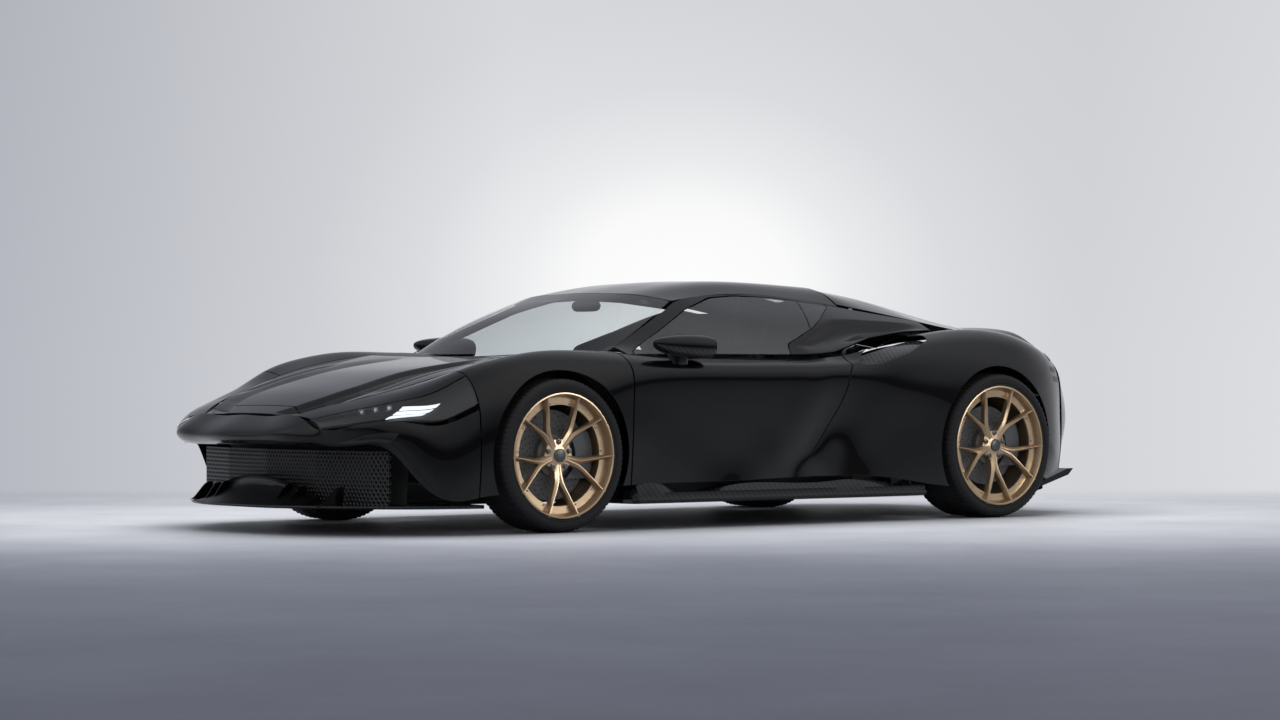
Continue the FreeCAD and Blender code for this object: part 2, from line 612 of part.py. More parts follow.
# Tail with four lamps, two tailpipes, a grille and a lip
tail = surface(tail_rows).makeOffsetShape(-SKIN, SEAT, fill=True)
LAMP_TALL_SHARE, LAMP_WIDE_SHARE, LAMP_HEIGHT_SHARE = .075, .14, .615
PIPE_PLACE_SHARE, PIPE_HEIGHT_SHARE = .145, .56
PIPE_RADIUS, PIPE_WALL, PIPE_LONG = 62, 4, 190
lamps = []
for centre in (.62, .42):
    low = at(-1, centre - LAMP_WIDE_SHARE / 2, LAMP_HEIGHT_SHARE - LAMP_TALL_SHARE / 2)
    high = at(-.82, centre + LAMP_WIDE_SHARE / 2, LAMP_HEIGHT_SHARE + LAMP_TALL_SHARE / 2)
    block = box(low, high)
    block = block.makeFillet(SKIN * 4, [edge for edge in block.Edges if abs(edge.tangentAt(0).x) > .9])
    lamps.append(block)
tail_solid = surface(tail_rows).extrude(AHEAD * HALF_LENGTH * .045)
lens = [largest(block.common(tail_solid)) for block in lamps]
pipes = []
for side_sign in (LEFT, RIGHT):
    centre = at(-.98, side_sign * PIPE_PLACE_SHARE, PIPE_HEIGHT_SHARE)
    outer = Part.makeCylinder(PIPE_RADIUS, PIPE_LONG, centre, AHEAD)
    hole = Part.makeCylinder(PIPE_RADIUS - PIPE_WALL, PIPE_LONG - PIPE_WALL, centre, AHEAD)
    pipes.append(outer.cut(hole))
for block in lamps:
    tail = tail.cut(block).cut(opposite(block))
for side_sign in (LEFT, RIGHT):
    centre = at(-1.05, side_sign * PIPE_PLACE_SHARE, PIPE_HEIGHT_SHARE)
    tail = tail.cut(Part.makeCylinder(PIPE_RADIUS + SEAT, PIPE_LONG * 2, centre, AHEAD))
keep("rear_bumper", largest(tail))
keep("tail_lamps", both(lens))
keep("exhaust_tips", Part.makeCompound(pipes))


# Wheels: each turns about its own Y axis, drawn with the outer face towards plus Y
LIP, RIM_WALL, HUB_SET, DISH_THICK, HUB_RADIUS = 14, 9, 46, 30, 72
SPOKE_HALF, ARM_WIDTH, FORK_SHARE, SPOKES = 19, 15, .50, 5
BOLT_CIRCLE, BOLT_HOLE = 57, 11


def planar_sketch(body, role, label):
    """A sketch on one of the body's own origin planes."""
    sketch = body.newObject("Sketcher::SketchObject", label)
    planes = {feature.Role: feature for feature in body.Origin.OriginFeatures}
    sketch.AttachmentSupport = [(planes[role], "")]
    sketch.MapMode = "FlatFace"
    return sketch


def draw(sketch, points):
    """A closed outline of straight lines in a sketch."""
    for start, end in zip(points, points[1:] + points[:1]):
        sketch.addGeometry(Part.LineSegment(Vector(*start, 0), Vector(*end, 0)), False)


def turned(body, label, points):
    """A ring or disc turned about the body's Y axis from a half profile of radius and place."""
    sketch = planar_sketch(body, "XY_Plane", label + "_profile")
    draw(sketch, points)
    feature = body.newObject("PartDesign::Revolution", label)
    feature.Profile = sketch
    feature.ReferenceAxis = (sketch, ["V_Axis"])
    feature.Angle = 360
    body.Tip = feature
    return feature


def finish_body(body, place, side):
    """Stand a wheel piece at its axle, turned to face outwards on its side of the car."""
    turn = FreeCAD.Rotation(UP, 0 if side == LEFT else 180)
    centre = Vector(place.x, place.y * side, place.z)
    body.Placement = FreeCAD.Placement(centre, turn)
    made.append(body)


def tyre(label, radius, lip, width, place, side):
    body = doc.addObject("PartDesign::Body", label)
    body.Label = label
    seat = lip - LIP
    half = width / 2
    wall = radius - seat
    bead = half - LIP / 2 - LIP - SEAT
    toe = bead - LIP / 2
    profile = [(seat + SEAT, -toe), (lip + SEAT, -bead), (seat + wall * .35, -half * .98),
               (seat + wall * .6, -half),
               (radius - wall * .16, -half * .93), (radius - wall * .03, -half * .80),
               (radius, -half * .60),
               (radius, half * .60), (radius - wall * .03, half * .80), (radius - wall * .16, half * .93),
               (seat + wall * .6, half), (seat + wall * .35, half * .98), (lip + SEAT, bead),
               (seat + SEAT, toe),
               (seat + wall * .25, half * .70), (seat + wall * .25, -half * .70)]
    turned(body, label + "_ring", profile)
    finish_body(body, place, side)


def rim(label, lip, width, place, side):
    body = doc.addObject("PartDesign::Body", label)
    body.Label = label
    face = width / 2 - LIP / 2
    seat = lip - LIP
    turned(body, label + "_barrel", [(lip, face), (lip, face - LIP), (seat, face - LIP * 1.5),
                                     (seat, LIP * 1.5 - face),
                                     (lip, LIP - face), (lip, -face), (seat - RIM_WALL, -face),
                                     (seat - RIM_WALL, face - LIP * 3), (lip - RIM_WALL, face)])
    hub = face - HUB_SET
    reach = seat - RIM_WALL / 2
    turned(body, label + "_dish", [(0, hub), (HUB_RADIUS, hub), (reach, face - LIP * 1.5),
                                   (reach, face - LIP * 1.5 - DISH_THICK),
                                   (HUB_RADIUS, hub - DISH_THICK), (0, hub - DISH_THICK)])
    window = seat - RIM_WALL - LIP
    fork = lip * FORK_SHARE
    spread = math.pi / (2 * SPOKES)
    arm_end = (window * math.cos(spread), window * math.sin(spread))
    arm_start = (fork, 0)
    along = Vector(arm_end[0] - arm_start[0], arm_end[1] - arm_start[1], 0)
    along.normalize()
    beside = Vector(-along.y, along.x, 0) * (ARM_WIDTH * .8)
    middle = math.pi / SPOKES

    def turned_point(radial, across, angle):
        return (radial * math.cos(angle) - across * math.sin(angle),
                radial * math.sin(angle) + across * math.cos(angle))

    # the wide window between neighbouring spokes, then the small one inside each fork
    down = -math.pi / 2
    inner = SPOKE_HALF / math.sin(middle)
    elbow = (fork + beside.x, beside.y + SPOKE_HALF * .45)
    tip = (arm_end[0] + beside.x, arm_end[1] + beside.y)
    side_points = [elbow, tip]
    wide = [turned_point(max(inner, HUB_RADIUS * 1.12), 0, down + middle)]
    wide += [turned_point(x, y, down) for x, y in side_points]
    wide += [turned_point(window * 1.01, 0, down + middle)]
    wide += [turned_point(x, -y, down + 2 * middle) for x, y in reversed(side_points)]
    inside = (arm_end[0] - beside.x, arm_end[1] - beside.y)
    small = [turned_point(fork + ARM_WIDTH * 2.2, 0, down), turned_point(inside[0], inside[1], down),
             turned_point(window * 1.01, 0, down), turned_point(inside[0], -inside[1], down)]
    for name, points in [("_wide", wide), ("_small", small)]:
        sketch = planar_sketch(body, "XZ_Plane", label + name + "_window")
        draw(sketch, points)
        doc.recompute()
        pocket = body.newObject("PartDesign::Pocket", label + name)
        pocket.Profile = sketch
        pocket.Type = "ThroughAll"
        pocket.Midplane = True
        body.Tip = pocket
        doc.recompute()
        pattern = body.newObject("PartDesign::PolarPattern", label + name + "_ring")
        pattern.Originals = [pocket]
        pattern.Axis = (sketch, ["N_Axis"])
        pattern.Angle = 360
        pattern.Occurrences = SPOKES
        body.Tip = pattern
        doc.recompute()
    finish_body(body, place, side)
    return hub - DISH_THICK


def brake_disc(label, disc_radius, mount, place, side):
    """The brake disc with its bell and the stub shaft that the knuckle carries."""
    body = doc.addObject("PartDesign::Body", label)
    body.Label = label
    thick = size("disc_thickness")
    turned(body, label + "_turned", [(0, mount), (92, mount), (92, mount - thick * .9),
                                     (disc_radius, mount - thick * .9),
                                     (disc_radius, mount - thick * 1.9), (84, mount - thick * 1.9),
                                     (84, mount - 8),
                                     (SHAFT_RADIUS, mount - 8), (SHAFT_RADIUS, mount - SHAFT_LONG),
                                     (0, mount - SHAFT_LONG)])
    finish_body(body, place, side)


SHAFT_RADIUS, SHAFT_LONG, BOSS_RADIUS, KNUCKLE_TALL, KNUCKLE_THICK = 26, 130, 52, 150, 36
KINGPIN_INBOARD = 62
CALIPER_REACH, CALIPER_SPAN = 18, 62
AXLES = [("front", FRONT_WHEEL, FRONT_TYRE, HEIGHT * FRONT_LIP_SHARE, FRONT_WIDE,
          HEIGHT * FRONT_DISC_SHARE),
         ("rear", REAR_WHEEL, REAR_TYRE, HEIGHT * REAR_LIP_SHARE, REAR_WIDE, HEIGHT * REAR_DISC_SHARE)]


def knuckle(wheel, mount, disc_radius):
    """Upright with its bearing boss, steering pivots and the caliper, for the left wheel."""
    thick = size("disc_thickness")
    inner = mount - thick * 1.9 - 12
    boss = Part.makeCylinder(BOSS_RADIUS, KNUCKLE_THICK, Vector(0, inner - KNUCKLE_THICK, 0), ACROSS)
    post = box(Vector(-30, inner - KNUCKLE_THICK, -KNUCKLE_TALL), Vector(30, inner - 4, KNUCKLE_TALL))
    low = disc_radius * .62
    ring = Part.makeCylinder(disc_radius + CALIPER_REACH, thick + 2 * 24,
                             Vector(0, mount - thick * 1.9 - 24, 0), ACROSS)
    ring = ring.cut(Part.makeCylinder(low, HALF_SPAN, Vector(0, -HALF_SPAN / 2, 0), ACROSS))
    ring = ring.cut(Part.makeCylinder(disc_radius + 5, thick + 10, Vector(0, mount - thick * 1.9 - 5, 0),
                                      ACROSS))
    span = box(Vector(-HALF_SPAN, -HALF_SPAN, -disc_radius * .52),
               Vector(-low * .6, HALF_SPAN, disc_radius * .52))
    caliper = ring.common(span)
    link = box(Vector(-disc_radius * .8, inner - KNUCKLE_THICK, -34), Vector(0, inner - 8, 34))
    whole = boss.multiFuse([post, link, caliper])
    whole = whole.cut(Part.makeCylinder(SHAFT_RADIUS + PLAY, HALF_SPAN, Vector(0, -HALF_SPAN / 2, 0),
                                        ACROSS))
    whole.translate(wheel)
    return whole


for axle, wheel, tyre_radius, lip, width, disc_radius in AXLES:
    for side_name, side_sign in SIDES:
        tyre("tyre_%s_%s" % (axle, side_name), tyre_radius, lip, width, wheel, side_sign)
        mount = rim("rim_%s_%s" % (axle, side_name), lip, width, wheel, side_sign)
        brake_disc("brake_disc_%s_%s" % (axle, side_name), disc_radius, mount, wheel, side_sign)
    upright = knuckle(wheel, mount, disc_radius)
    pair("knuckle_%s" % axle, largest(upright))

# Suspension: a wishbone above and below each knuckle, held by a subframe
for axle, wheel, tyre_radius, lip, width, disc_radius in AXLES:
    face = width / 2 - LIP / 2
    kingpin = wheel + ACROSS * (face - HUB_SET - DISH_THICK - size("disc_thickness") * 1.9 - 12 - KNUCKLE_THICK / 2)
    beam_y = at(0, .36, 0).y
    arms = []
    for sign in (-1, 1):
        joint_height = wheel.z + sign * (KNUCKLE_TALL + SEAT)
        boss_low = joint_height if sign > 0 else joint_height - 30
        boss = column(kingpin, boss_low, boss_low + 30, 20)
        arms.append(boss)
        for way in (-1, 1):
            foot = Vector(wheel.x + way * 150, beam_y + 20, joint_height + sign * 22 - sign * 40)
            arms.append(rod(foot, Vector(kingpin.x, kingpin.y, joint_height + sign * 22), 13))
    tower = box(Vector(wheel.x - 180, beam_y - 20, FLOOR_TOP + SEAT),
                Vector(wheel.x + 180, beam_y + 30, wheel.z + KNUCKLE_TALL + 40))
    arms.append(tower)
    half = together(arms)
    cross = box(Vector(wheel.x - 60, -beam_y, FLOOR_TOP + SEAT),
                Vector(wheel.x + 60, beam_y, wheel.z - KNUCKLE_TALL))
    whole = half.multiFuse([opposite(half), cross])
    keep("suspension_%s" % axle, largest(whole))

# Tub: floor, sills, posts and bulkheads
FLOOR_SHARES = [(.807, .60), (.688, .60), (.688, .47), (.331, .47), (.331, .8547), (-.437, .8547),
                (-.437, .47),
                (-.790, .47), (-.790, .60), (-.828, .60)]
TUB_REAR_SHARE, FIREWALL_SHARE, BEAM_IN_SHARE, BEAM_OUT_SHARE, BEAM_TOP_SHARE = -.262, .405, .74, .835, .35


def plan_plate(half_shares, low, high):
    """A flat plate from half its outline in plan, mirrored about the centre line."""
    half = [Vector(at(x, y, 0).x, at(x, y, 0).y, low) for x, y in half_shares]
    points = half + [Vector(p.x, -p.y, low) for p in reversed(half)]
    return Part.Face(Part.makePolygon(points + [points[0]])).extrude(UP * (high - low))


def side_profile(shares, low_y, high_y):
    """A solid with one outline in side view, from one place across the car to another."""
    points = [Vector(at(x, 0, z).x, low_y, at(x, 0, z).z) for x, z in shares]
    return Part.Face(Part.makePolygon(points + [points[0]])).extrude(ACROSS * (high_y - low_y))


def across(y_share):
    return HALF_SPAN * y_share


keep("floor_pan", plan_plate(FLOOR_SHARES, FLOOR_LOW, FLOOR_TOP))
beam = box(Vector(at(TUB_REAR_SHARE, 0, 0).x, across(BEAM_IN_SHARE), FLOOR_TOP),
           Vector(at(.331, 0, 0).x, across(BEAM_OUT_SHARE), at(0, 0, BEAM_TOP_SHARE).z))
post_box = box(Vector(DOOR_HINGE.x - 25, across(.68), at(0, 0, BEAM_TOP_SHARE).z),
               Vector(DOOR_HINGE.x + 50, across(.795), at(0, 0, .655).z))
arms = [arm.common(box(Vector(0, across(.74), 0), Vector(HALF_LENGTH, HALF_SPAN,
                                                         HEIGHT))) for arm in tub_posts]
beam = beam.cut(box(Vector(DOOR_HINGE.x - 120, across(.795), 0), Vector(HALF_LENGTH, HALF_SPAN, HEIGHT)))
post = post_box.multiFuse([beam] + arms)
keep("sill_beams", both([largest(post)]))
WALL_TOP_SHARE = .662
WALL_HALF_SHARE = .55
WALL_SHARES = [(FIREWALL_SHARE - .018, .1205), (FIREWALL_SHARE, .1205), (FIREWALL_SHARE, WALL_TOP_SHARE),
               (FIREWALL_SHARE - .018, WALL_TOP_SHARE)]
firewall = side_profile(WALL_SHARES, -across(WALL_HALF_SHARE), across(WALL_HALF_SHARE))
foot_top = bonnet_master.point(.43, 1.3)
foot = box(Vector(foot_top.x - 14, foot_top.y - 10, at(0, 0, .64).z),
           Vector(foot_top.x, foot_top.y + 10, foot_top.z - SKIN - SEAT * 2))
foot = foot.fuse(box(Vector(at(.39, 0, 0).x, foot_top.y - 10, at(0, 0, .64).z),
                     Vector(foot_top.x, foot_top.y + 10, at(0, 0, .652).z)))
plate_y = lug_y - LUG_THICK - 2
plate_points = [LID_AXIS + Vector(x, plate_y, z) for x,
                z in [(-8, 8), (8, 8), (14, -62), (-185, -90), (-185, -58), (-14, -54)]]
bracket = Part.Face(Part.makePolygon(plate_points + [plate_points[0]])).extrude(ACROSS * LUG_THICK)
bracket_pin = Part.makeCylinder(PIN_SMALL, LUG_THICK * 2 + 6, Vector(LID_AXIS.x, plate_y, LID_AXIS.z),
                                ACROSS)
firewall = firewall.multiFuse([bracket, bracket_pin, opposite(bracket), opposite(bracket_pin), foot,
                               opposite(foot)])
keep("front_bulkhead", largest(firewall))
REAR_WALL_SHARES = [(-.280, .1202), (-.262, .1202), (-.262, .87), (-.280, .87)]
rear_wall = side_profile(REAR_WALL_SHARES, -across(.545), across(.545))
plate_y = across(COVER_LUG_SHARE) - LUG_THICK - 2
plate_points = [COVER_AXIS + Vector(x, plate_y, z) for x,
                z in [(8, 9), (-8, 9), (-14, -66), (215, -150), (215, -100), (14, -58)]]
bracket = Part.Face(Part.makePolygon(plate_points + [plate_points[0]])).extrude(ACROSS * LUG_THICK)
bracket_pin = Part.makeCylinder(PIN_SMALL, LUG_THICK * 2 + 6, Vector(COVER_AXIS.x, plate_y, COVER_AXIS.z),
                                ACROSS)
rear_wall = rear_wall.multiFuse([bracket, bracket_pin, opposite(bracket), opposite(bracket_pin)])
keep("rear_bulkhead", largest(rear_wall))

# Skirts, splitter, diffuser, grille and lip
SKIRT_SHARES = [(.855, .101), (.935, .101), (.955, .116), (.945, .145), (.925, .168), (.855, .168)]
skirt_points = [at(.334, y, z) for y, z in SKIRT_SHARES]
skirt = Part.Face(Part.makePolygon(skirt_points + [skirt_points[0]])).extrude(AHEAD * -(at(.334, 0,
                                                                                           0).x - at(-.43,
                                                                                                     0,
                                                                                                     0).x))
keep("side_skirts", both([skirt]))
SPLITTER_SHARES = [(.981, .12), (.977, .25), (.934, .50), (.858, .72), (.777, .86), (.688, .92),
                   (.688, .61),
                   (.8071, .61), (.8071, .02)]
SPLITTER_LOW_SHARE, SPLITTER_TOP_SHARE = .098, .114
splitter_low, splitter_top = at(0, 0, SPLITTER_LOW_SHARE).z, at(0, 0, SPLITTER_TOP_SHARE).z
keep("front_splitter", plan_plate(SPLITTER_SHARES, splitter_low, splitter_top))
grille_points = [at(.905, 0, .114), at(.892, .35, .114), at(.85, .66, .114), at(.845, .66, .114),
                 at(.887, .35, .114), at(.900, 0, .114)]
grille_rise = at(0, 0, .33).z - at(0, 0, .114).z
grille = Part.Face(Part.makePolygon(grille_points + [grille_points[0]])).extrude(UP * grille_rise)
grille = grille.fuse(opposite(grille)).removeSplitter()
for row in range(3):
    for place in range(-5, 6):
        low = at(0, place * .11 - .047, .135 + row * .064)
        high = at(1, place * .11 + .047, .135 + row * .064 + .05)
        grille = grille.cut(box(low, high))
keep("front_grille", largest(grille))
DIFFUSER_SHARES = [(-.828, .101), (-.828, .1202), (-.935, .1925), (-.951, .1925), (-.937, .165)]
diffuser = side_profile(DIFFUSER_SHARES, -across(.70), across(.70))
fins = []
for place in (-.52, -.26, 0, .26, .52):
    fins.append(side_profile([(-.83, .110), (-.93, .180), (-.935, .10), (-.85, .090)], across(place) - 4,
                             across(place) + 4))
diffuser = diffuser.multiFuse(fins)
keep("rear_diffuser", largest(diffuser))
LIP_SHARES = [
    [(-.864, .540, .730), (-.864, .420, .769), (-.864, .250, .795), (-.864, 0, .808)],
    [(-.880, .580, .735), (-.906, .420, .778), (-.928, .230, .800), (-.938, 0, .808)],
    [(-.873, .620, .720), (-.900, .440, .750), (-.918, .230, .765), (-.926, 0, .774)],
]
lip_rows = whole_rows([[at(*share) for share in row] for row in LIP_SHARES])
keep("rear_spoiler", panel(surface(lip_rows), SKIN_DOWN))

# Wheel liners
liners = []
for wheel, radius, inner, outer in [(FRONT_WHEEL, FRONT_TYRE, .67, .80), (REAR_WHEEL, REAR_TYRE, .50, .80)]:
    radius += size("arch_play")
    inner_y = across(inner)
    wide = across(outer) - inner_y
    around = Part.makeCylinder(radius + size("liner_play") + 4, wide, Vector(wheel.x, inner_y, wheel.z),
                               ACROSS)
    hollow = Part.makeCylinder(radius + size("liner_play"), HALF_SPAN, Vector(wheel.x, 0, wheel.z), ACROSS)
    shell = around.cut(hollow).common(box(Vector(-HALF_LENGTH, 0, at(0, 0, .2).z),
                                          Vector(HALF_LENGTH, HALF_SPAN, HEIGHT)))
    liners.append(largest(shell))
keep("wheel_liners", both(liners))

# Cabin fittings
SEAT_SHARES = [(.119, .1205), (.127, .289), (-.051, .237), (-.153, .800), (-.205, .825), (-.222, .78),
               (-.119, .1205)]
keep("seats", both([side_profile(SEAT_SHARES, across(.13), across(.59))]))
DASH_SHARES = [(FIREWALL_SHARE - .0182, .645), (.263, .650), (.225, .615), (.240, .53), (.300, .44),
               (FIREWALL_SHARE - .0182, .44)]
WHEEL_PLACE_SHARES = (.165, .36, .575)
STEER_RADIUS, STEER_GRIP, STEER_HUB = 165, 15, 42
STEER_AXIS = Vector(.94, 0, -.34)
steer_centre = at(*WHEEL_PLACE_SHARES)
grip = Part.makeTorus(STEER_RADIUS, STEER_GRIP, steer_centre, STEER_AXIS)
hub = Part.makeCylinder(STEER_HUB, 40, steer_centre - Vector(STEER_AXIS) * 12, STEER_AXIS)
spokes = [rod(steer_centre, steer_centre + Vector(0, sign * STEER_RADIUS, 0), 11) for sign in (-1, 1)]
low = Vector(-STEER_AXIS.z, 0, STEER_AXIS.x)
spokes.append(rod(steer_centre, steer_centre + low * STEER_RADIUS * -1, 11))
COLUMN_LONG, SHROUD_LONG, SHROUD_RADIUS, COLUMN_RADIUS = 105, 330, 29, 20
column_bar = rod(steer_centre, steer_centre + Vector(STEER_AXIS) * COLUMN_LONG, COLUMN_RADIUS)
shroud = rod(steer_centre + Vector(STEER_AXIS) * (COLUMN_LONG + SEAT),
             steer_centre + Vector(STEER_AXIS) * SHROUD_LONG, SHROUD_RADIUS)
dash_shape = side_profile(DASH_SHARES, -across(.62), across(.62)).fuse(shroud)
keep("dashboard", largest(dash_shape))
steer = largest(together([grip, hub, column_bar] + spokes))
keep("steering_wheel", steer)
ENGINE_LOW, ENGINE_HIGH = at(-.588, -.30, .1205), at(-.31, .30, .62)
keep("engine_block", box(ENGINE_LOW, ENGINE_HIGH))
mirror_block = box(at(.128, -.11, .865), at(.148, .11, .915))
stem = box(at(.130, -.012, .90), at(.138, .012, .99))
inner_mirror = mirror_block.fuse(stem)
inner_mirror = inner_mirror.cut(panel(surface(roof_rows), SKIN_DOWN * 2)).common(box(at(-1, -1, 0),
                                                                                     at(1, 1, .97)))
keep("interior_mirror", largest(inner_mirror))

# Door mirrors, each a rounded head on a stalk that stands on the door's shoulder
MIRROR_SHARES = [
    (.150, .918, .728, .082, .037), (.165, .915, .729, .085, .040), (.200, .917, .731, .080, .039),
    (.240, .918, .733, .062, .031), (.270, .922, .735, .034, .018), (.282, .926, .736, .010, .006),
]


def closed_ring(x_share, y_share, z_share, half_wide_share, half_tall_share):
    """A smooth closed ring across the car, slightly squared."""
    points = []
    for step in range(12):
        turn = 2 * math.pi * step / 12
        wide = math.copysign(abs(math.cos(turn)) ** .8, math.cos(turn)) * half_wide_share
        tall = math.copysign(abs(math.sin(turn)) ** .8, math.sin(turn)) * half_tall_share
        points.append(at(x_share, y_share + wide, z_share + tall))
    curve = Part.BSplineCurve()
    curve.interpolate(Points=points, PeriodicFlag=True)
    return Part.Wire(curve.toShape())


head = Part.makeLoft([closed_ring(*row) for row in MIRROR_SHARES], True)
STALK_SHARES = [(.235, .70), (.200, .70), (.198, .61), (.232, .60)]
stalk = side_profile(STALK_SHARES, across(.905), across(.925))
stalk = stalk.cut(door)
mirror = head.fuse(stalk)
pair("door_mirror", largest(mirror))
doc.recompute()

# Soundness
for piece in made:
    faulty = "Invalid" in piece.State or "Error" in piece.State
    if faulty or piece.Shape.isNull() or not piece.Shape.isValid():
        raise RuntimeError("not sound: " + piece.Label)

# Export
os.makedirs("parts", exist_ok=True)
for piece in made:
    piece.Shape.exportStep("parts/%s.step" % piece.Label)
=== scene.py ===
# %% [markdown]
# # A gloss black mid-engined hypercar
# The car is nearly all reflections: black lacquer shows the room rather than itself. So its body is made of
# smooth surfaces that run on from panel to panel, and each panel is cut out of them with a rolled edge.
# Everything is in metres, X towards the nose, Y to the car's left and Z up.

# %% Frame
import bmesh
import bpy
import json
import math
import numpy as np
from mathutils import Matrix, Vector

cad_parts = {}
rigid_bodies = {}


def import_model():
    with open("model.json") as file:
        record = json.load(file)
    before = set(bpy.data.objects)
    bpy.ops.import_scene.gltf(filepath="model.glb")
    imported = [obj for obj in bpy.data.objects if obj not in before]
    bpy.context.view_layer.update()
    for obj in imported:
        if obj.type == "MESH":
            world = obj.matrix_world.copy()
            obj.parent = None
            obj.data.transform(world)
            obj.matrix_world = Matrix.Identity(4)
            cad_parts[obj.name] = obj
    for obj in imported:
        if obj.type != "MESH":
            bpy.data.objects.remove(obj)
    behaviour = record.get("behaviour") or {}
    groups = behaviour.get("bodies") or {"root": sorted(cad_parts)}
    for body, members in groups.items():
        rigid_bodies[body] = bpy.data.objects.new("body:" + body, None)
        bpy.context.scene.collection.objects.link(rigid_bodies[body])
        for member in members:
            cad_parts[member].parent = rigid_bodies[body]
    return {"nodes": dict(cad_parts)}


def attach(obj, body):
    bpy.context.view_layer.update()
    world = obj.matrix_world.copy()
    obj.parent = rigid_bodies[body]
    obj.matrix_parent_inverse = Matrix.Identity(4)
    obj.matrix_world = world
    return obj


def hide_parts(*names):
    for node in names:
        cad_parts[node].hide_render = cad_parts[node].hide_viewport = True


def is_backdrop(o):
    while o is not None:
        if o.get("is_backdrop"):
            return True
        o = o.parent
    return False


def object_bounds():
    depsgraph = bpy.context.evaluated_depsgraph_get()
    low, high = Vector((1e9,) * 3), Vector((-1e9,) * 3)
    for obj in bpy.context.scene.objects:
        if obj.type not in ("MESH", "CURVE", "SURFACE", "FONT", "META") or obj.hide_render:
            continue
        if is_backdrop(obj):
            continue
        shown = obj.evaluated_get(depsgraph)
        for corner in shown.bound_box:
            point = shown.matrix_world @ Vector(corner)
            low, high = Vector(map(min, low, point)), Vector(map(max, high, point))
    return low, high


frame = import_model()
cad_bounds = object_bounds()

# %% [markdown]
# ## Sizes
# Body points are shares: along the car a share of half its length, across it a share of half the span over
# the mirrors, and upwards a share of the roof's height. One function turns them into metres.

# %% Sizes
HALF_LENGTH = 2.355
HALF_SPAN = 1.000
HEIGHT = 1.140
SKIN = 0.006
GLASS_THICK = 0.005
EDGE_RADIUS = 0.0022
SIDES = [("left", 1), ("right", -1)]
SHARE_SCALE = np.array([HALF_LENGTH, HALF_SPAN, HEIGHT])
FRONT_AXLE = 1.195
REAR_AXLE = FRONT_AXLE - 2.650


def at(*shares):
    """A point of the body from its three shares."""
    return np.array(shares, dtype=float) * SHARE_SCALE


def whole_rows(half_rows):
    """Rows from the left edge to the centre line, carried on to the right edge."""
    rows = np.array(half_rows, dtype=float)
    return np.concatenate([rows, rows[:, -2::-1] * (1, -1, 1)], axis=1)


def section_rows(table):
    """Rows of points from a table of stations, each with its outline."""
    return np.array([[at(x_share, *point) for point in outline] for x_share, outline in table])


# %% [markdown]
# ## Smooth surfaces
# A car body is drawn as sections along its length with smooth curves through them. The curve used here is the
# natural cubic spline, in both directions, which bends as little as it can on its way through the points.
# The same rule makes the solids, so what is drawn here lies on them.

# %% Smooth surfaces
def chord_places(grid):
    """Places from nought to one down a grid, spaced by the mean distance between its rows."""
    lengths = np.linalg.norm(np.diff(grid, axis=0), axis=2)
    return np.concatenate([[0.0], np.cumsum((lengths / lengths.sum(axis=0)).mean(axis=1))])


def slopes(places, values):
    """Slopes at the points of the natural cubic spline through values, down the first axis."""
    count = len(places)
    gaps = np.diff(places)
    flat = np.reshape(values, (count, -1))
    rises = np.diff(flat, axis=0) / gaps[:, None]
    matrix = np.zeros((count, count))
    right = np.zeros_like(flat)
    matrix[0, :2] = (2, 1)
    matrix[-1, -2:] = (1, 2)
    right[0] = 3 * rises[0]
    right[-1] = 3 * rises[-1]
    for row in range(1, count - 1):
        before, after = 1 / gaps[row - 1], 1 / gaps[row]
        matrix[row, row - 1:row + 2] = (before, 2 * (before + after), after)
        right[row] = 3 * (rises[row - 1] * before + rises[row] * after)
    return np.linalg.solve(matrix, right).reshape(np.shape(values))


def hermite(share, gap):
    """Weights of the two ends and their slopes, at a share of the way across a gap."""
    square, cube = share ** 2, share ** 3
    return (2 * cube - 3 * square + 1, 3 * square - 2 * cube,
            (cube - 2 * square + share) * gap, (cube - square) * gap)


def spline(places, values, targets):
    """The natural cubic spline through values, read at targets."""
    places = np.asarray(places, dtype=float)
    values = np.asarray(values, dtype=float)
    tilt = slopes(places, values)
    span = np.clip(np.searchsorted(places, targets, side="right") - 1, 0, len(places) - 2)
    gap = places[span + 1] - places[span]
    start, end, start_tilt, end_tilt = hermite((targets - places[span]) / gap, gap)
    return values[span] * start + values[span + 1] * end + tilt[span] * start_tilt + tilt[span + 1] * end_tilt


def eased(values):
    """Nought below nought, one above one, and a smooth step between."""
    values = np.clip(values, 0, 1)
    return values * values * (3 - 2 * values)


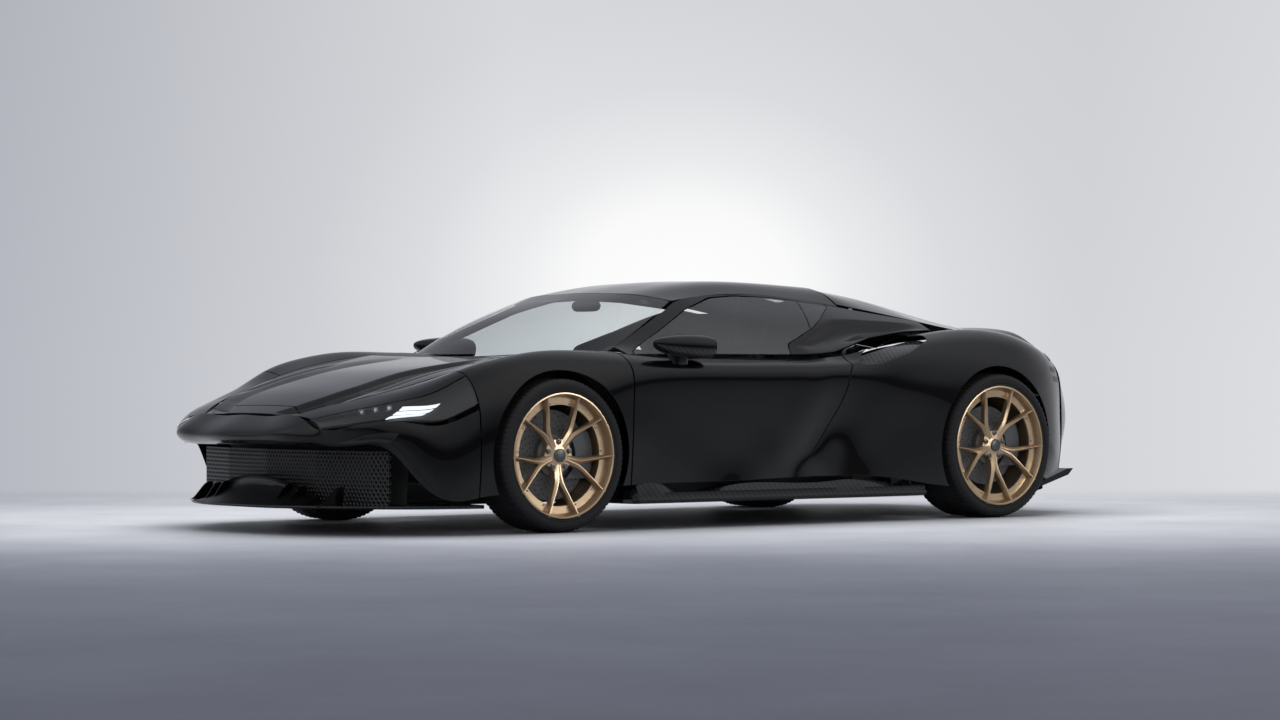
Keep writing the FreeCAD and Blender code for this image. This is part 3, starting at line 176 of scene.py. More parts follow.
class Surface:
    """A smooth surface through a grid of points, read at a station down it and a level across it."""

    def __init__(self, grid, stations=None, outward=1):
        self.grid = np.asarray(grid, dtype=float)
        self.outward = outward
        self.along = chord_places(self.grid)
        self.around = chord_places(self.grid.transpose(1, 0, 2))
        self.stations = np.arange(len(self.grid)) * -1.0 if stations is None else np.asarray(stations)
        self.tilt_along = slopes(self.along, self.grid)
        self.tilt_around = slopes(self.around, self.grid.transpose(1, 0, 2)).transpose(1, 0, 2)
        self.twist = slopes(self.along, self.tilt_around)

    def points(self, station, level):
        u = np.interp(-station, -self.stations, self.along)
        v = np.interp(level, np.arange(len(self.around)), self.around)
        row = np.clip(np.searchsorted(self.along, u, side="right") - 1, 0, len(self.along) - 2)
        column = np.clip(np.searchsorted(self.around, v, side="right") - 1, 0, len(self.around) - 2)
        tall = self.along[row + 1] - self.along[row]
        wide = self.around[column + 1] - self.around[column]
        down = hermite((u - self.along[row]) / tall, tall)
        over = hermite((v - self.around[column]) / wide, wide)
        total = 0
        for step in (0, 1):
            for side_step in (0, 1):
                corner = (row + step, column + side_step)
                total = total + self.grid[corner] * (down[step] * over[side_step])[..., None]
                total = total + self.tilt_along[corner] * (down[step + 2] * over[side_step])[..., None]
                total = total + self.tilt_around[corner] * (down[step] * over[side_step + 2])[..., None]
                total = total + self.twist[corner] * (down[step + 2] * over[side_step + 2])[..., None]
        return total

    def normals(self, station, level):
        step = 1e-4
        reach = step * (self.stations[0] - self.stations[-1])
        top, bottom = np.max(self.stations), np.min(self.stations)
        last = len(self.around) - 1
        down = (self.points(np.clip(station - reach, bottom, top), level)
                - self.points(np.clip(station + reach, bottom, top), level))
        over = (self.points(station, np.clip(level + step * last, 0, last))
                - self.points(station, np.clip(level - step * last, 0, last)))
        normal = np.cross(down, over) * self.outward
        return normal / np.linalg.norm(normal, axis=-1, keepdims=True)


# %% [markdown]
# ## Panels with rolled edges
# A sheet metal or carbon panel catches the light along its edge, and that thin bright line is what makes a shut
# line read. Each panel is a fine grid on its surface, clipped where a wheel arch, window or duct is cut, then
# rolled over its edge in a small arc and carried back to its thickness.
# The normals come from the surface itself, so reflections run over the joints of the grid without a kink.

# %% Panels with rolled edges
ARC_STEPS = 3
SNAP_SHARE = 0.3


class Sheet:
    """A grid of faces on a surface, kept in the surface's own coordinates so that it can be clipped."""

    def __init__(self, surface, domain, counts):
        self.surface = surface
        self.domain = domain
        self.cell = np.array([1 / counts[0], 1 / counts[1]])
        first, second = np.meshgrid(np.linspace(0, 1, counts[0] + 1), np.linspace(0, 1, counts[1] + 1), indexing="ij")
        self.places = np.stack([first.ravel(), second.ravel()], axis=1)
        wide = counts[1] + 1
        self.faces = [(r * wide + c, (r + 1) * wide + c, (r + 1) * wide + c + 1, r * wide + c + 1)
                      for r in range(counts[0]) for c in range(counts[1])]

    def points(self, places=None):
        places = self.places if places is None else np.asarray(places)
        return self.surface.points(*self.domain(places[:, 0], places[:, 1]))

    def normals(self):
        return self.surface.normals(*self.domain(self.places[:, 0], self.places[:, 1]))

    def clip(self, keep):
        """Cut away what lies where keep is below nought. Near points move onto the cut, so no sliver is left."""
        values = keep(self.points())
        slope = np.zeros_like(self.places)
        for axis in (0, 1):
            moved = self.places.copy()
            step = np.where(moved[:, axis] > 0.5, -1, 1) * self.cell[axis] / 50
            moved[:, axis] += step
            slope[:, axis] = (keep(self.points(moved)) - values) / step
        steep = np.maximum((slope * self.cell) ** 2, 1e-18).sum(axis=1)
        shift = -(values / steep)[:, None] * slope * self.cell ** 2
        near = np.abs(shift / self.cell).max(axis=1) < SNAP_SHARE
        inner = ((self.places > 1e-9) & (self.places < 1 - 1e-9))
        shift = np.where(inner, shift, 0)
        near &= np.abs(shift).max(axis=1) > 0
        self.places[near] += shift[near]
        values = keep(self.points())
        values[near] = np.where(np.abs(values[near]) < 2e-3, 0, values[near])
        cuts = {}
        places = list(self.places)
        faces = []

        def crossing(a, b):
            key = (min(a, b), max(a, b))
            if key not in cuts:
                low, high = 0.0, 1.0
                start, end = self.places[key[0]], self.places[key[1]]
                rising = values[key[1]] > 0
                for _ in range(12):
                    middle = (low + high) / 2
                    value = keep(self.points([start + (end - start) * middle]))[0]
                    if (value > 0) == rising:
                        high = middle
                    else:
                        low = middle
                cuts[key] = len(places)
                places.append(start + (end - start) * (low + high) / 2)
            return cuts[key]

        for face in self.faces:
            signs = [values[corner] for corner in face]
            if min(signs) >= 0:
                faces.append(face)
                continue
            if max(signs) <= 0:
                continue
            outline = []
            for place, corner in enumerate(face):
                following = face[(place + 1) % len(face)]
                if values[corner] >= 0:
                    outline.append(corner)
                if values[corner] * values[following] < 0:
                    outline.append(crossing(corner, following))
            if len(outline) > 2:
                faces.append(tuple(outline))
        self.places = np.array(places)
        self.faces = faces
        return self

    def tidy(self):
        used = sorted({corner for face in self.faces for corner in face})
        fresh = {corner: place for place, corner in enumerate(used)}
        self.places = self.places[used]
        self.faces = [tuple(fresh[corner] for corner in face) for face in self.faces]
        return self


def boundary(faces):
    """The directed edges that only one face has."""
    edges = {}
    for face in faces:
        for place, corner in enumerate(face):
            edges[(corner, face[(place + 1) % len(face)])] = True
    return [edge for edge in edges if (edge[1], edge[0]) not in edges]


def shell(sheet, inner, radius=EDGE_RADIUS):
    """Vertices, faces and normals of a panel with rolled edges. inner gives the back of each point."""
    sheet.tidy()
    points, normals, faces = sheet.points(), sheet.normals(), list(sheet.faces)
    first = faces[0]
    turn = np.cross(points[first[1]] - points[first[0]], points[first[2]] - points[first[0]])
    if np.dot(turn, normals[first[0]]) < 0:
        faces = [face[::-1] for face in faces]
    edges = boundary(faces)
    away = np.zeros_like(points)
    for start, end in edges:
        out = np.cross(points[end] - points[start], normals[start])
        length = np.linalg.norm(out)
        if length > 0:
            away[start] += out / length
            away[end] += out / length
    rim = sorted({corner for edge in edges for corner in edge})
    place_in_rim = {corner: place for place, corner in enumerate(rim)}
    out = away[rim]
    length = np.maximum(np.linalg.norm(out, axis=1, keepdims=True), 1e-9)
    stretch = np.clip(2 / length, 1, 1.4)
    out = out / length
    edge_points, edge_normals = points[rim].copy(), normals[rim]
    points = points.copy()
    backs = inner(points, normals)
    points[rim] = edge_points - out * radius * stretch
    rings, ring_normals = [], []
    for step in range(1, ARC_STEPS + 1):
        angle = math.pi / 2 * step / ARC_STEPS
        rings.append(points[rim] + out * stretch * radius * math.sin(angle) - edge_normals * radius * (1 - math.cos(angle)))
        ring_normals.append(edge_normals * math.cos(angle) + out * math.sin(angle))
    rings.append(backs[rim])
    ring_normals.append(out)
    count, size = len(points), len(rim)
    vertices = [points] + rings + [backs]
    all_normals = [normals] + ring_normals + [-normals]
    for start, end in edges:
        a, b = place_in_rim[start], place_in_rim[end]
        last = (start, end)
        for ring in range(len(rings)):
            base = count + ring * size
            faces.append((last[1], last[0], base + a, base + b))
            last = (base + a, base + b)
    base = count + len(rings) * size
    faces += [tuple(base + corner for corner in reversed(face)) for face in sheet_faces(faces, count)]
    return np.concatenate(vertices), faces, np.concatenate(all_normals)


def sheet_faces(faces, count):
    """The faces that use only the first count points."""
    return [face for face in faces if max(face) < count]


def mesh_object(name, vertices, faces, normals=None, materials=(), mirror=False):
    """A mesh object with smooth shading, mirrored to the car's right if asked."""
    vertices = np.array(vertices, dtype=float)
    if mirror:
        vertices = vertices * (1, -1, 1)
        faces = [tuple(reversed(face)) for face in faces]
        normals = None if normals is None else normals * (1, -1, 1)
    mesh = bpy.data.meshes.new(name)
    mesh.from_pydata(vertices.tolist(), [], faces)
    mesh.shade_smooth()
    if normals is not None:
        mesh.normals_split_custom_set_from_vertices(normals.tolist())
    for material in materials:
        mesh.materials.append(material)
    thing = bpy.data.objects.new(name, mesh)
    bpy.context.scene.collection.objects.link(thing)
    return thing


def thick(depth):
    """The back of a panel of even thickness."""
    return lambda points, normals: points - normals * depth


triangle_count = {}


def add_panel(name, sheet, inner, material, body, nodes, mirror=False, radius=EDGE_RADIUS):
    """A finished panel that rides on its body and stands for its nodes."""
    vertices, faces, normals = shell(sheet, inner, radius)
    panel = mesh_object(name, vertices, faces, normals, [material], mirror)
    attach(panel, body)
    if nodes:
        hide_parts(*nodes)
    triangle_count[name] = sum(len(face) - 2 for face in faces)
    return panel

# %% [markdown]
# ## Materials
# Every colour is written as the sRGB hex value that the eye would pick, and one function turns it to the linear
# light that Blender works in. One more function adds a node to a material with its settings and its links.

# %% Material helpers
def linear(hex_colour):
    """An sRGB hex colour as linear red, green, blue and alpha."""
    parts = [int(hex_colour[place:place + 2], 16) / 255 for place in (1, 3, 5)]
    return tuple(part / 12.92 if part <= 0.04045 else ((part + 0.055) / 1.055) ** 2.4 for part in parts) + (1.0,)


def node(material, kind, settings=None, links=None):
    """Add a node, set its properties and sockets, and link its inputs from other nodes' outputs."""
    made = material.node_tree.nodes.new(kind)
    for key, value in (settings or {}).items():
        if isinstance(key, int) or key in made.inputs:
            made.inputs[key].default_value = value
        else:
            setattr(made, key, value)
    for key, (source, output) in (links or {}).items():
        material.node_tree.links.new(source.outputs[output], made.inputs[key])
    return made


def surface_material(name, settings):
    """A material with one Principled shader and the shader itself, ready for links."""
    material = bpy.data.materials.new(name)
    material.use_nodes = True
    shader = material.node_tree.nodes["Principled BSDF"]
    for key, value in settings.items():
        shader.inputs[key].default_value = value
    return material, shader


def place_in_metres(material):
    """The piece's own coordinates, which are metres in the car's frame."""
    return node(material, "ShaderNodeTexCoord")


def ramp(material, source, output, stops):
    """A colour ramp between hex colours at set places."""
    made = node(material, "ShaderNodeValToRGB", links={"Fac": (source, output)})
    elements = made.color_ramp.elements
    for element, (place, colour) in zip((elements[1], elements[0]), (stops[-1], stops[0])):
        element.position = place
        element.color = linear(colour)
    for place, colour in stops[1:-1]:
        elements.new(place).color = linear(colour)
    return made


def link(material, source, output, target, socket):
    material.node_tree.links.new(source.outputs[output], target.inputs[socket])


# %% [markdown]
# ### Gloss black lacquer
# Jet black base coat under clear lacquer. The base gives almost no light back, so what shows is the lacquer's
# reflection. Sprayed lacquer is never quite flat: orange peel waves some millimetres long bend the reflections.

# %% Gloss black lacquer
PEEL_WAVE = 0.011


def black_lacquer():
    material, shader = surface_material("gloss_black_lacquer", {
        "Base Color": linear("#020203"), "Roughness": 0.5, "Specular IOR Level": 0.08,
        "Coat Weight": 1.0, "Coat Roughness": 0.012, "Coat IOR": 1.33})
    place = place_in_metres(material)
    peel = node(material, "ShaderNodeTexNoise", {"Scale": 1 / PEEL_WAVE, "Detail": 1.0}, {"Vector": (place, "Object")})
    bump = node(material, "ShaderNodeBump", {"Strength": 0.015, "Distance": 0.001}, {"Height": (peel, "Fac")})
    link(material, bump, "Normal", shader, "Coat Normal")
    return material


LACQUER = black_lacquer()

# %% [markdown]
# ### Lacquered carbon fibre
# Two by two twill, tows about two millimetres wide, under clear lacquer. Each tow mirrors light along its length,
# so the weave shows as small diagonal steps of grey. Here the weave is a real pattern, and the lighter grey of one
# tow direction is painted sheen in the base colour. It is drawn four times as coarse, or it would not show.

# %% Lacquered carbon fibre
TOW_DRAWN = 0.008


def twill_carbon():
    material, shader = surface_material("lacquered_twill_carbon", {
        "Roughness": 0.38, "Specular IOR Level": 0.12, "Coat Weight": 1.0, "Coat Roughness": 0.04, "Coat IOR": 1.30})
    place = place_in_metres(material)
    split = node(material, "ShaderNodeSeparateXYZ", links={"Vector": (place, "Object")})
    sum_yz = node(material, "ShaderNodeMath", {"operation": "ADD"})
    link(material, split, "Y", sum_yz, 0)
    link(material, split, "Z", sum_yz, 1)
    across = node(material, "ShaderNodeMath", {"operation": "DIVIDE", 1: TOW_DRAWN})
    link(material, sum_yz, "Value", across, 0)
    along = node(material, "ShaderNodeMath", {"operation": "DIVIDE", 1: TOW_DRAWN})
    link(material, split, "X", along, 0)
    floors = []
    for share in (along, across):
        floors.append(node(material, "ShaderNodeMath", {"operation": "FLOOR"}, {0: (share, "Value")}))
    step = node(material, "ShaderNodeMath", {"operation": "SUBTRACT"})
    link(material, floors[0], "Value", step, 0)
    link(material, floors[1], "Value", step, 1)
    cycle = node(material, "ShaderNodeMath", {"operation": "FLOORED_MODULO", 1: 4.0}, {0: (step, "Value")})
    # Painted sheen: the tows of one direction get a lighter base colour, standing for the light they mirror; the weave
    # itself is a real pattern.
    painted_sheen_tows = node(material, "ShaderNodeMath", {"operation": "LESS_THAN", 1: 1.5}, {0: (cycle, "Value")})
    tone = ramp(material, painted_sheen_tows, "Value", [(0.0, "#101113"), (1.0, "#26272a")])
    link(material, tone, "Color", shader, "Base Color")
    return material


CARBON = twill_carbon()

# %% [markdown]
# ### Tinted glass
# Car glass is a few millimetres of grey-green glass. Light passes it nearly straight, so it is drawn as clear
# tint mixed with a mirror by Fresnel, which keeps the cabin behind it sharp and lit.

# %% Tinted glass
def tinted_glass(name, tint, index=1.52):
    material = bpy.data.materials.new(name)
    material.use_nodes = True
    nodes = material.node_tree.nodes
    nodes.remove(nodes["Principled BSDF"])
    clear = node(material, "ShaderNodeBsdfTransparent", {"Color": linear(tint)})
    mirror = node(material, "ShaderNodeBsdfGlossy", {"Color": linear("#ffffff"), "Roughness": 0.01})
    fresnel = node(material, "ShaderNodeFresnel", {"IOR": index})
    facing = node(material, "ShaderNodeNewGeometry")
    front = node(material, "ShaderNodeMath", {"operation": "SUBTRACT", 0: 1.0}, {1: (facing, "Backfacing")})
    share = node(material, "ShaderNodeMath", {"operation": "MULTIPLY"}, {0: (fresnel, "Fac"), 1: (front, "Value")})
    mix = node(material, "ShaderNodeMixShader", links={"Fac": (share, "Value")})
    link(material, clear, "BSDF", mix, 1)
    link(material, mirror, "BSDF", mix, 2)
    link(material, mix, "Shader", nodes["Material Output"], "Surface")
    return material


CAR_GLASS = tinted_glass("tinted_laminated_glass", "#fafbfb")
SIDE_GLASS = tinted_glass("tinted_toughened_glass", "#eef1f2", 1.80)
LENS = tinted_glass("smoked_polycarbonate", "#d4d6d8")

# %% [markdown]
# ### Rubber, metals and plastics
# The tyre is carbon-filled rubber, dark grey and slightly waxy. The wheels are forged aluminium under bronze
# lacquer. The discs are carbon ceramic, grey and faintly speckled, and the calipers are anodised dark grey.

# %% Rubber, metals and plastics
def speckled(name, settings, tones, grain, rough_span, bump_height=0.0):
    """A finish whose colour and roughness wander over grains of a real size."""
    material, shader = surface_material(name, settings)
    place = place_in_metres(material)
    noise = node(material, "ShaderNodeTexNoise", {"Scale": 1 / grain, "Detail": 4.0, "Roughness": 0.6},
                 {"Vector": (place, "Object")})
    tone = ramp(material, noise, "Fac", [(0.3, tones[0]), (0.7, tones[1])])
    link(material, tone, "Color", shader, "Base Color")
    rough = node(material, "ShaderNodeMapRange", {"To Min": rough_span[0], "To Max": rough_span[1]},
                 {"Value": (noise, "Fac")})
    link(material, rough, "Result", shader, "Roughness")
    if bump_height:
        bump = node(material, "ShaderNodeBump", {"Strength": 0.4, "Distance": bump_height}, {"Height": (noise, "Fac")})
        link(material, bump, "Normal", shader, "Normal")
    return material


TYRE_RUBBER = speckled("moulded_tyre_rubber", {"Specular IOR Level": 0.35}, ("#161616", "#1d1d1e"), 0.012, (0.55, 0.72), 0.0002)
BRONZE = speckled("bronze_lacquered_forging", {"Metallic": 0.85, "Coat Weight": 0.25, "Coat Roughness": 0.2},
                  ("#998369", "#a28d73"), 0.03, (0.30, 0.38))
CERAMIC = speckled("carbon_ceramic_disc", {"Metallic": 0.55}, ("#1c1d20", "#2a2b2e"), 0.004, (0.38, 0.55))
CALIPER_GREY = speckled("anodised_caliper_grey", {"Metallic": 0.6}, ("#3a3c3f", "#404245"), 0.01, (0.32, 0.42))
CAST_ALLOY = speckled("cast_aluminium", {"Metallic": 0.9}, ("#6d6f72", "#808285"), 0.004, (0.45, 0.6), 0.0002)
BLACK_PLASTIC = speckled("grained_black_polypropylene", {"Specular IOR Level": 0.4}, ("#0b0b0c", "#111112"), 0.003, (0.5, 0.65), 0.0002)
SATIN_BLACK = speckled("satin_black_paint", {"Specular IOR Level": 0.5}, ("#0a0a0b", "#0e0e0f"), 0.01, (0.32, 0.4))
TUB_COMPOSITE = speckled("moulded_tub_composite", {"Specular IOR Level": 0.4}, ("#101012", "#19191c"), 0.006, (0.45, 0.6))
STEEL_PIPE = speckled("brushed_exhaust_steel", {"Metallic": 1.0}, ("#8b8780", "#a09c94"), 0.003, (0.25, 0.4))
SOFT_TRIM = speckled("grained_trim_leather", {"Specular IOR Level": 0.35}, ("#121214", "#1a1a1c"), 0.0025, (0.5, 0.62), 0.0004)
STEEL_DARK = speckled("blackened_bolt_steel", {"Metallic": 0.9}, ("#55565a", "#6a6b70"), 0.003, (0.28, 0.4))
EXTRUDED_BRIGHT = speckled("polished_aluminium", {"Metallic": 1.0}, ("#b4b6b8", "#c2c4c6"), 0.006, (0.12, 0.2))

# %% [markdown]
# ### Lamps
# The running lights are white light pipes: a plain white emitter at a plain level, which reads as a lamp that is
# on in daylight. The tail lamps are dark red polycarbonate.

# %% Lamps
def lamp_light(name, colour, strength):
    material, shader = surface_material(name, {
        "Base Color": linear(colour), "Emission Color": linear(colour), "Emission Strength": strength, "Roughness": 0.3})
    return material


RUNNING_LIGHT = lamp_light("white_light_pipe", "#f4f7fb", 2.2)
TAIL_RED = speckled("red_polycarbonate_lens", {"Coat Weight": 1.0, "Coat Roughness": 0.02}, ("#3a0507", "#4a080a"), 0.02, (0.15, 0.25))
TAIL_GLOW = lamp_light("red_light_pipe", "#c01418", 0.35)
MIRROR_GLASS = speckled("silvered_mirror_glass", {"Metallic": 1.0}, ("#d5d8da", "#dadddf"), 0.05, (0.01, 0.02))
SCREEN_GLASS = speckled("black_display_glass", {"Coat Weight": 1.0, "Coat Roughness": 0.02}, ("#050608", "#08090b"), 0.02, (0.1, 0.15))
SOOT = speckled("sooty_pipe_wall", {"Specular IOR Level": 0.2}, ("#0c0b0a", "#15130f"), 0.006, (0.7, 0.85))
print("materials:", len(bpy.data.materials))

# %% [markdown]
# ## The body's tables
# The same tables of shares as the solids use: each row is one cross section, and each point in it
# is at one level, from the sill up.

# %% The body's tables
SIDE_SHARES = [
    (0.943, [(.500, .338), (.545, .351), (.566, .368), (.572, .389), (.562, .409), (.530, .426),
             (.460, .441), (.360, .448)]),
    (0.900, [(.655, .332), (.685, .351), (.695, .379), (.700, .404), (.685, .430), (.645, .452),
             (.560, .471), (.440, .482)]),
    (0.849, [(.765, .325), (.785, .351), (.790, .382), (.786, .417), (.768, .447), (.725, .475),
             (.650, .498), (.520, .511)]),
    (0.805, [(.835, .211), (.850, .281), (.852, .342), (.848, .395), (.822, .447), (.780, .487),
             (.705, .523), (.570, .536)]),
    (0.764, [(.885, .140), (.892, .228), (.892, .316), (.885, .386), (.865, .447), (.825, .500),
             (.750, .548), (.610, .559)]),
    (0.679, [(.925, .145), (.937, .254), (.940, .360), (.935, .447), (.915, .522), (.870, .583),
             (.790, .627), (.650, .610)]),
    (0.594, [(.945, .149), (.958, .263), (.963, .368), (.958, .474), (.940, .557), (.895, .627),
             (.810, .674), (.680, .649)]),
    (0.510, [(.950, .158), (.963, .272), (.967, .386), (.964, .491), (.948, .575), (.905, .645),
             (.815, .697), (.700, .675)]),
    (0.425, [(.945, .167), (.957, .272), (.962, .386), (.962, .500), (.950, .588), (.910, .651),
             (.825, .697), (.720, .693)]),
    (0.340, [(.932, .175), (.940, .272), (.948, .386), (.953, .509), (.950, .605), (.920, .651),
             (.850, .686), (.760, .697)]),
    (0.212, [(.928, .180), (.932, .272), (.938, .386), (.950, .518), (.951, .618), (.927, .647),
             (.885, .664), (.835, .677)]),
    (0.042, [(.929, .184), (.930, .272), (.937, .386), (.951, .518), (.952, .618), (.928, .645),
             (.888, .660), (.845, .674)]),
    (-0.040, [(.921, .188), (.928, .272), (.937, .386), (.951, .518), (.952, .618), (.929, .645),
              (.890, .660), (.847, .672)]),
    (-0.085, [(.916, .190), (.915, .272), (.935, .386), (.952, .518), (.953, .618), (.930, .645),
              (.891, .660), (.849, .671)]),
    (-0.127, [(.932, .193), (.911, .273), (.924, .387), (.951, .518), (.953, .618), (.930, .645),
              (.892, .660), (.850, .671)]),
    (-0.165, [(.939, .193), (.925, .276), (.920, .390), (.947, .518), (.954, .617), (.933, .645),
              (.896, .661), (.853, .675)]),
    (-0.221, [(.942, .193), (.938, .281), (.938, .395), (.952, .518), (.957, .614), (.940, .645),
              (.905, .662), (.860, .684)]),
    (-0.340, [(.950, .175), (.952, .281), (.957, .404), (.967, .526), (.965, .614), (.955, .671),
              (.920, .706), (.850, .737)]),
    (-0.467, [(.965, .140), (.970, .263), (.975, .395), (.977, .526), (.965, .640), (.935, .719),
              (.850, .768), (.740, .776)]),
    (-0.594, [(.970, .140), (.977, .263), (.980, .404), (.978, .535), (.960, .654), (.920, .737),
              (.820, .794), (.700, .789)]),
    (-0.722, [(.935, .158), (.950, .272), (.958, .404), (.955, .526), (.930, .640), (.885, .724),
              (.790, .776), (.660, .776)]),
    (-0.807, [(.870, .175), (.895, .272), (.900, .404), (.890, .526), (.865, .623), (.820, .693),
              (.730, .737), (.600, .750)]),
    (-0.862, [(.800, .193), (.815, .281), (.815, .404), (.810, .526), (.790, .614), (.745, .671),
              (.660, .711), (.540, .728)]),
]
BONNET_SHARES = [
    (0.943, [(.360, .448), (.240, .450), (.120, .452), (0, .453)]),
    (0.849, [(.520, .511), (.350, .522), (.180, .528), (0, .530)]),
    (0.764, [(.610, .559), (.410, .570), (.200, .577), (0, .579)]),
    (0.679, [(.650, .610), (.440, .614), (.220, .618), (0, .619)]),
    (0.594, [(.680, .649), (.460, .646), (.230, .646), (0, .646)]),
    (0.510, [(.700, .675), (.470, .669), (.240, .667), (0, .667)]),
    (0.425, [(.720, .693), (.480, .690), (.240, .687), (0, .686)]),
    (0.340, [(.760, .697), (.510, .700), (.250, .702), (0, .703)]),
]
NOSE_SHARES = [
    [(.955, .430, .337), (.969, .452, .354), (.975, .462, .383), (.962, .455, .415), (.944, .440, .443)],
    [(.963, .250, .336), (.981, .262, .353), (.989, .270, .379), (.971, .245, .417), (.945, .230, .450)],
    [(.972, 0, .338), (.991, 0, .353), (1, 0, .377), (.980, 0, .415), (.947, 0, .453)],
]
CABIN_SIDE_SHARES = [
    (0.318, [(.845, .686), (.815, .697), (.780, .706), (.738, .716)]),
    (0.212, [(.840, .680), (.800, .720), (.745, .766), (.673, .822)]),
    (0.106, [(.845, .677), (.785, .752), (.705, .830), (.600, .909)]),
    (0, [(.848, .675), (.790, .759), (.710, .842), (.575, .932)]),
    (-0.106, [(.850, .674), (.785, .763), (.700, .846), (.565, .937)]),
    (-0.212, [(.860, .680), (.785, .763), (.700, .838), (.570, .921)]),
    (-0.318, [(.860, .719), (.780, .772), (.700, .825), (.580, .890)]),
    (-0.425, [(.800, .768), (.740, .789), (.680, .820), (.600, .860)]),
    (-0.531, [(.730, .776), (.700, .794), (.660, .811), (.610, .833)]),
]
SCREEN_SHARES = [
    [(.340, .745, .692), (.391, .550, .690), (.425, .300, .689), (.437, 0, .689)],
    [(.270, .715, .762), (.327, .530, .768), (.357, .290, .772), (.367, 0, .774)],
    [(.200, .665, .834), (.247, .490, .848), (.272, .270, .856), (.280, 0, .859)],
    [(.130, .600, .904), (.149, .440, .927), (.157, .240, .938), (.159, 0, .942)],
]
ROOF_SHARES = [
    [(.1265, .602, .9055), (.1455, .440, .9285), (.1535, .240, .9390), (.1555, 0, .9430)],
    [(0, .575, .934), (0, .450, .973), (0, .240, .988), (0, 0, .991)],
    [(-.149, .567, .932), (-.149, .450, .977), (-.149, .240, .996), (-.149, 0, 1)],
    [(-.318, .580, .892), (-.318, .450, .955), (-.318, .240, .982), (-.318, 0, .991)],
]
DECK_SHARES = [
    (-.318, [(.580, .892), (.450, .955), (.240, .982), (0, .991)]),
    (-.425, [(.600, .862), (.430, .917), (.240, .956), (0, .969)]),
    (-.531, [(.620, .828), (.430, .877), (.240, .921), (0, .939)]),
    (-.637, [(.680, .791), (.450, .825), (.250, .873), (0, .895)]),
    (-.743, [(.650, .772), (.450, .794), (.250, .829), (0, .846)]),
    (-.862, [(.540, .728), (.420, .768), (.250, .794), (0, .807)]),
]
TAIL_SHARES = [
    [(-.865, .797, .193), (-.866, .811, .290), (-.868, .811, .404), (-.868, .806, .526),
     (-.866, .786, .620), (-.865, .705, .692)],
    [(-.883, .700, .193), (-.904, .715, .290), (-.921, .715, .412), (-.917, .700, .535),
     (-.896, .680, .632), (-.875, .600, .720)],
    [(-.917, .500, .193), (-.943, .510, .290), (-.960, .510, .421), (-.955, .500, .543),
     (-.930, .480, .645), (-.902, .430, .745)],
    [(-.943, .250, .193), (-.968, .250, .290), (-.989, .250, .421), (-.981, .250, .548),
     (-.951, .240, .658), (-.920, .220, .763)],
    [(-.951, 0, .193), (-.977, 0, .290), (-1, 0, .421), (-.989, 0, .552), (-.960, 0, .667),
     (-.927, 0, .772)],
]
LIP_SHARES = [
    [(-.864, .540, .730), (-.864, .420, .769), (-.864, .250, .795), (-.864, 0, .808)],
    [(-.880, .580, .735), (-.906, .420, .778), (-.928, .230, .800), (-.938, 0, .808)],
    [(-.873, .620, .720), (-.900, .440, .750), (-.918, .230, .765), (-.926, 0, .774)],
]

SIDE = Surface(section_rows(SIDE_SHARES), [row[0] for row in SIDE_SHARES])
BONNET = Surface(whole_rows(section_rows(BONNET_SHARES)), [row[0] for row in BONNET_SHARES])
CABIN = Surface(section_rows(CABIN_SIDE_SHARES), [row[0] for row in CABIN_SIDE_SHARES])
SCREEN = Surface(whole_rows([[at(*share) for share in row] for row in SCREEN_SHARES]))
ROOF = Surface(whole_rows([[at(*share) for share in row] for row in ROOF_SHARES]))
DECK = Surface(whole_rows(section_rows(DECK_SHARES)), [row[0] for row in DECK_SHARES])
LIP = Surface(whole_rows([[at(*share) for share in row] for row in LIP_SHARES]))


def both_halves(half):
    """Rows from the left to the middle, carried on to the right."""
    half = np.array(half)
    return np.concatenate([half, half[-2::-1] * (1, -1, 1)])


TAIL = Surface(both_halves([[at(*share) for share in row] for row in TAIL_SHARES]))
CORNER_STATIONS = (.6921, .73, .77, .81, .85, .90, .943)
CORNER_LEVELS = (0, 1, 2, 3, 3.55)
corner_grid = [[SIDE.points(np.array([station]), np.array([level]))[0] for level in CORNER_LEVELS]
               for station in CORNER_STATIONS]
NOSE = Surface(both_halves(corner_grid + [[at(*share) for share in row] for row in NOSE_SHARES]), outward=-1)
print("surfaces:", 9, "side grid", SIDE.grid.shape)

# %% [markdown]
# ## Where panels end
# A panel's grid runs between two rows of stations, so a shut line that leans or bends is an edge of the grid and
# stays smooth. Cut-outs are outlines seen from one side, and a signed distance tells how far a point is inside.

# %% Where panels end
def spans(levels, fronts, rears):
    """A domain between a front and a rear edge, each given at the same levels."""
    def domain(first, second):
        level = levels[0] + (levels[-1] - levels[0]) * second
        front, rear = spline(levels, fronts, level), spline(levels, rears, level)
        return front + (rear - front) * first, level
    return domain


def straight(first_station, last_station, first_level, last_level):
    """A domain with straight edges."""
    return lambda first, second: (first_station + (last_station - first_station) * first,
                                  first_level + (last_level - first_level) * second)


def inside(outline, flat):
    """The signed distance of flattened points from an outline, above nought inside it."""
    outline = np.array(outline)
    start, end = outline, np.roll(outline, -1, axis=0)
    edge = end - start
    away = flat[:, None, :] - start[None]
    share = np.clip((away * edge).sum(2) / (edge ** 2).sum(1), 0, 1)
    distance = np.linalg.norm(away - share[..., None] * edge, axis=2).min(axis=1)
    crosses = ((start[None, :, 1] > flat[:, None, 1]) != (end[None, :, 1] > flat[:, None, 1])) & (
        away[..., 0] < edge[:, 0] * away[..., 1] / np.where(edge[:, 1] == 0, 1e-12, edge[:, 1]))
    return np.where(crosses.sum(axis=1) % 2 == 1, distance, -distance)


def side_view(points):
    return points[:, (0, 2)]


def plan_view(points):
    return points[:, (0, 1)]


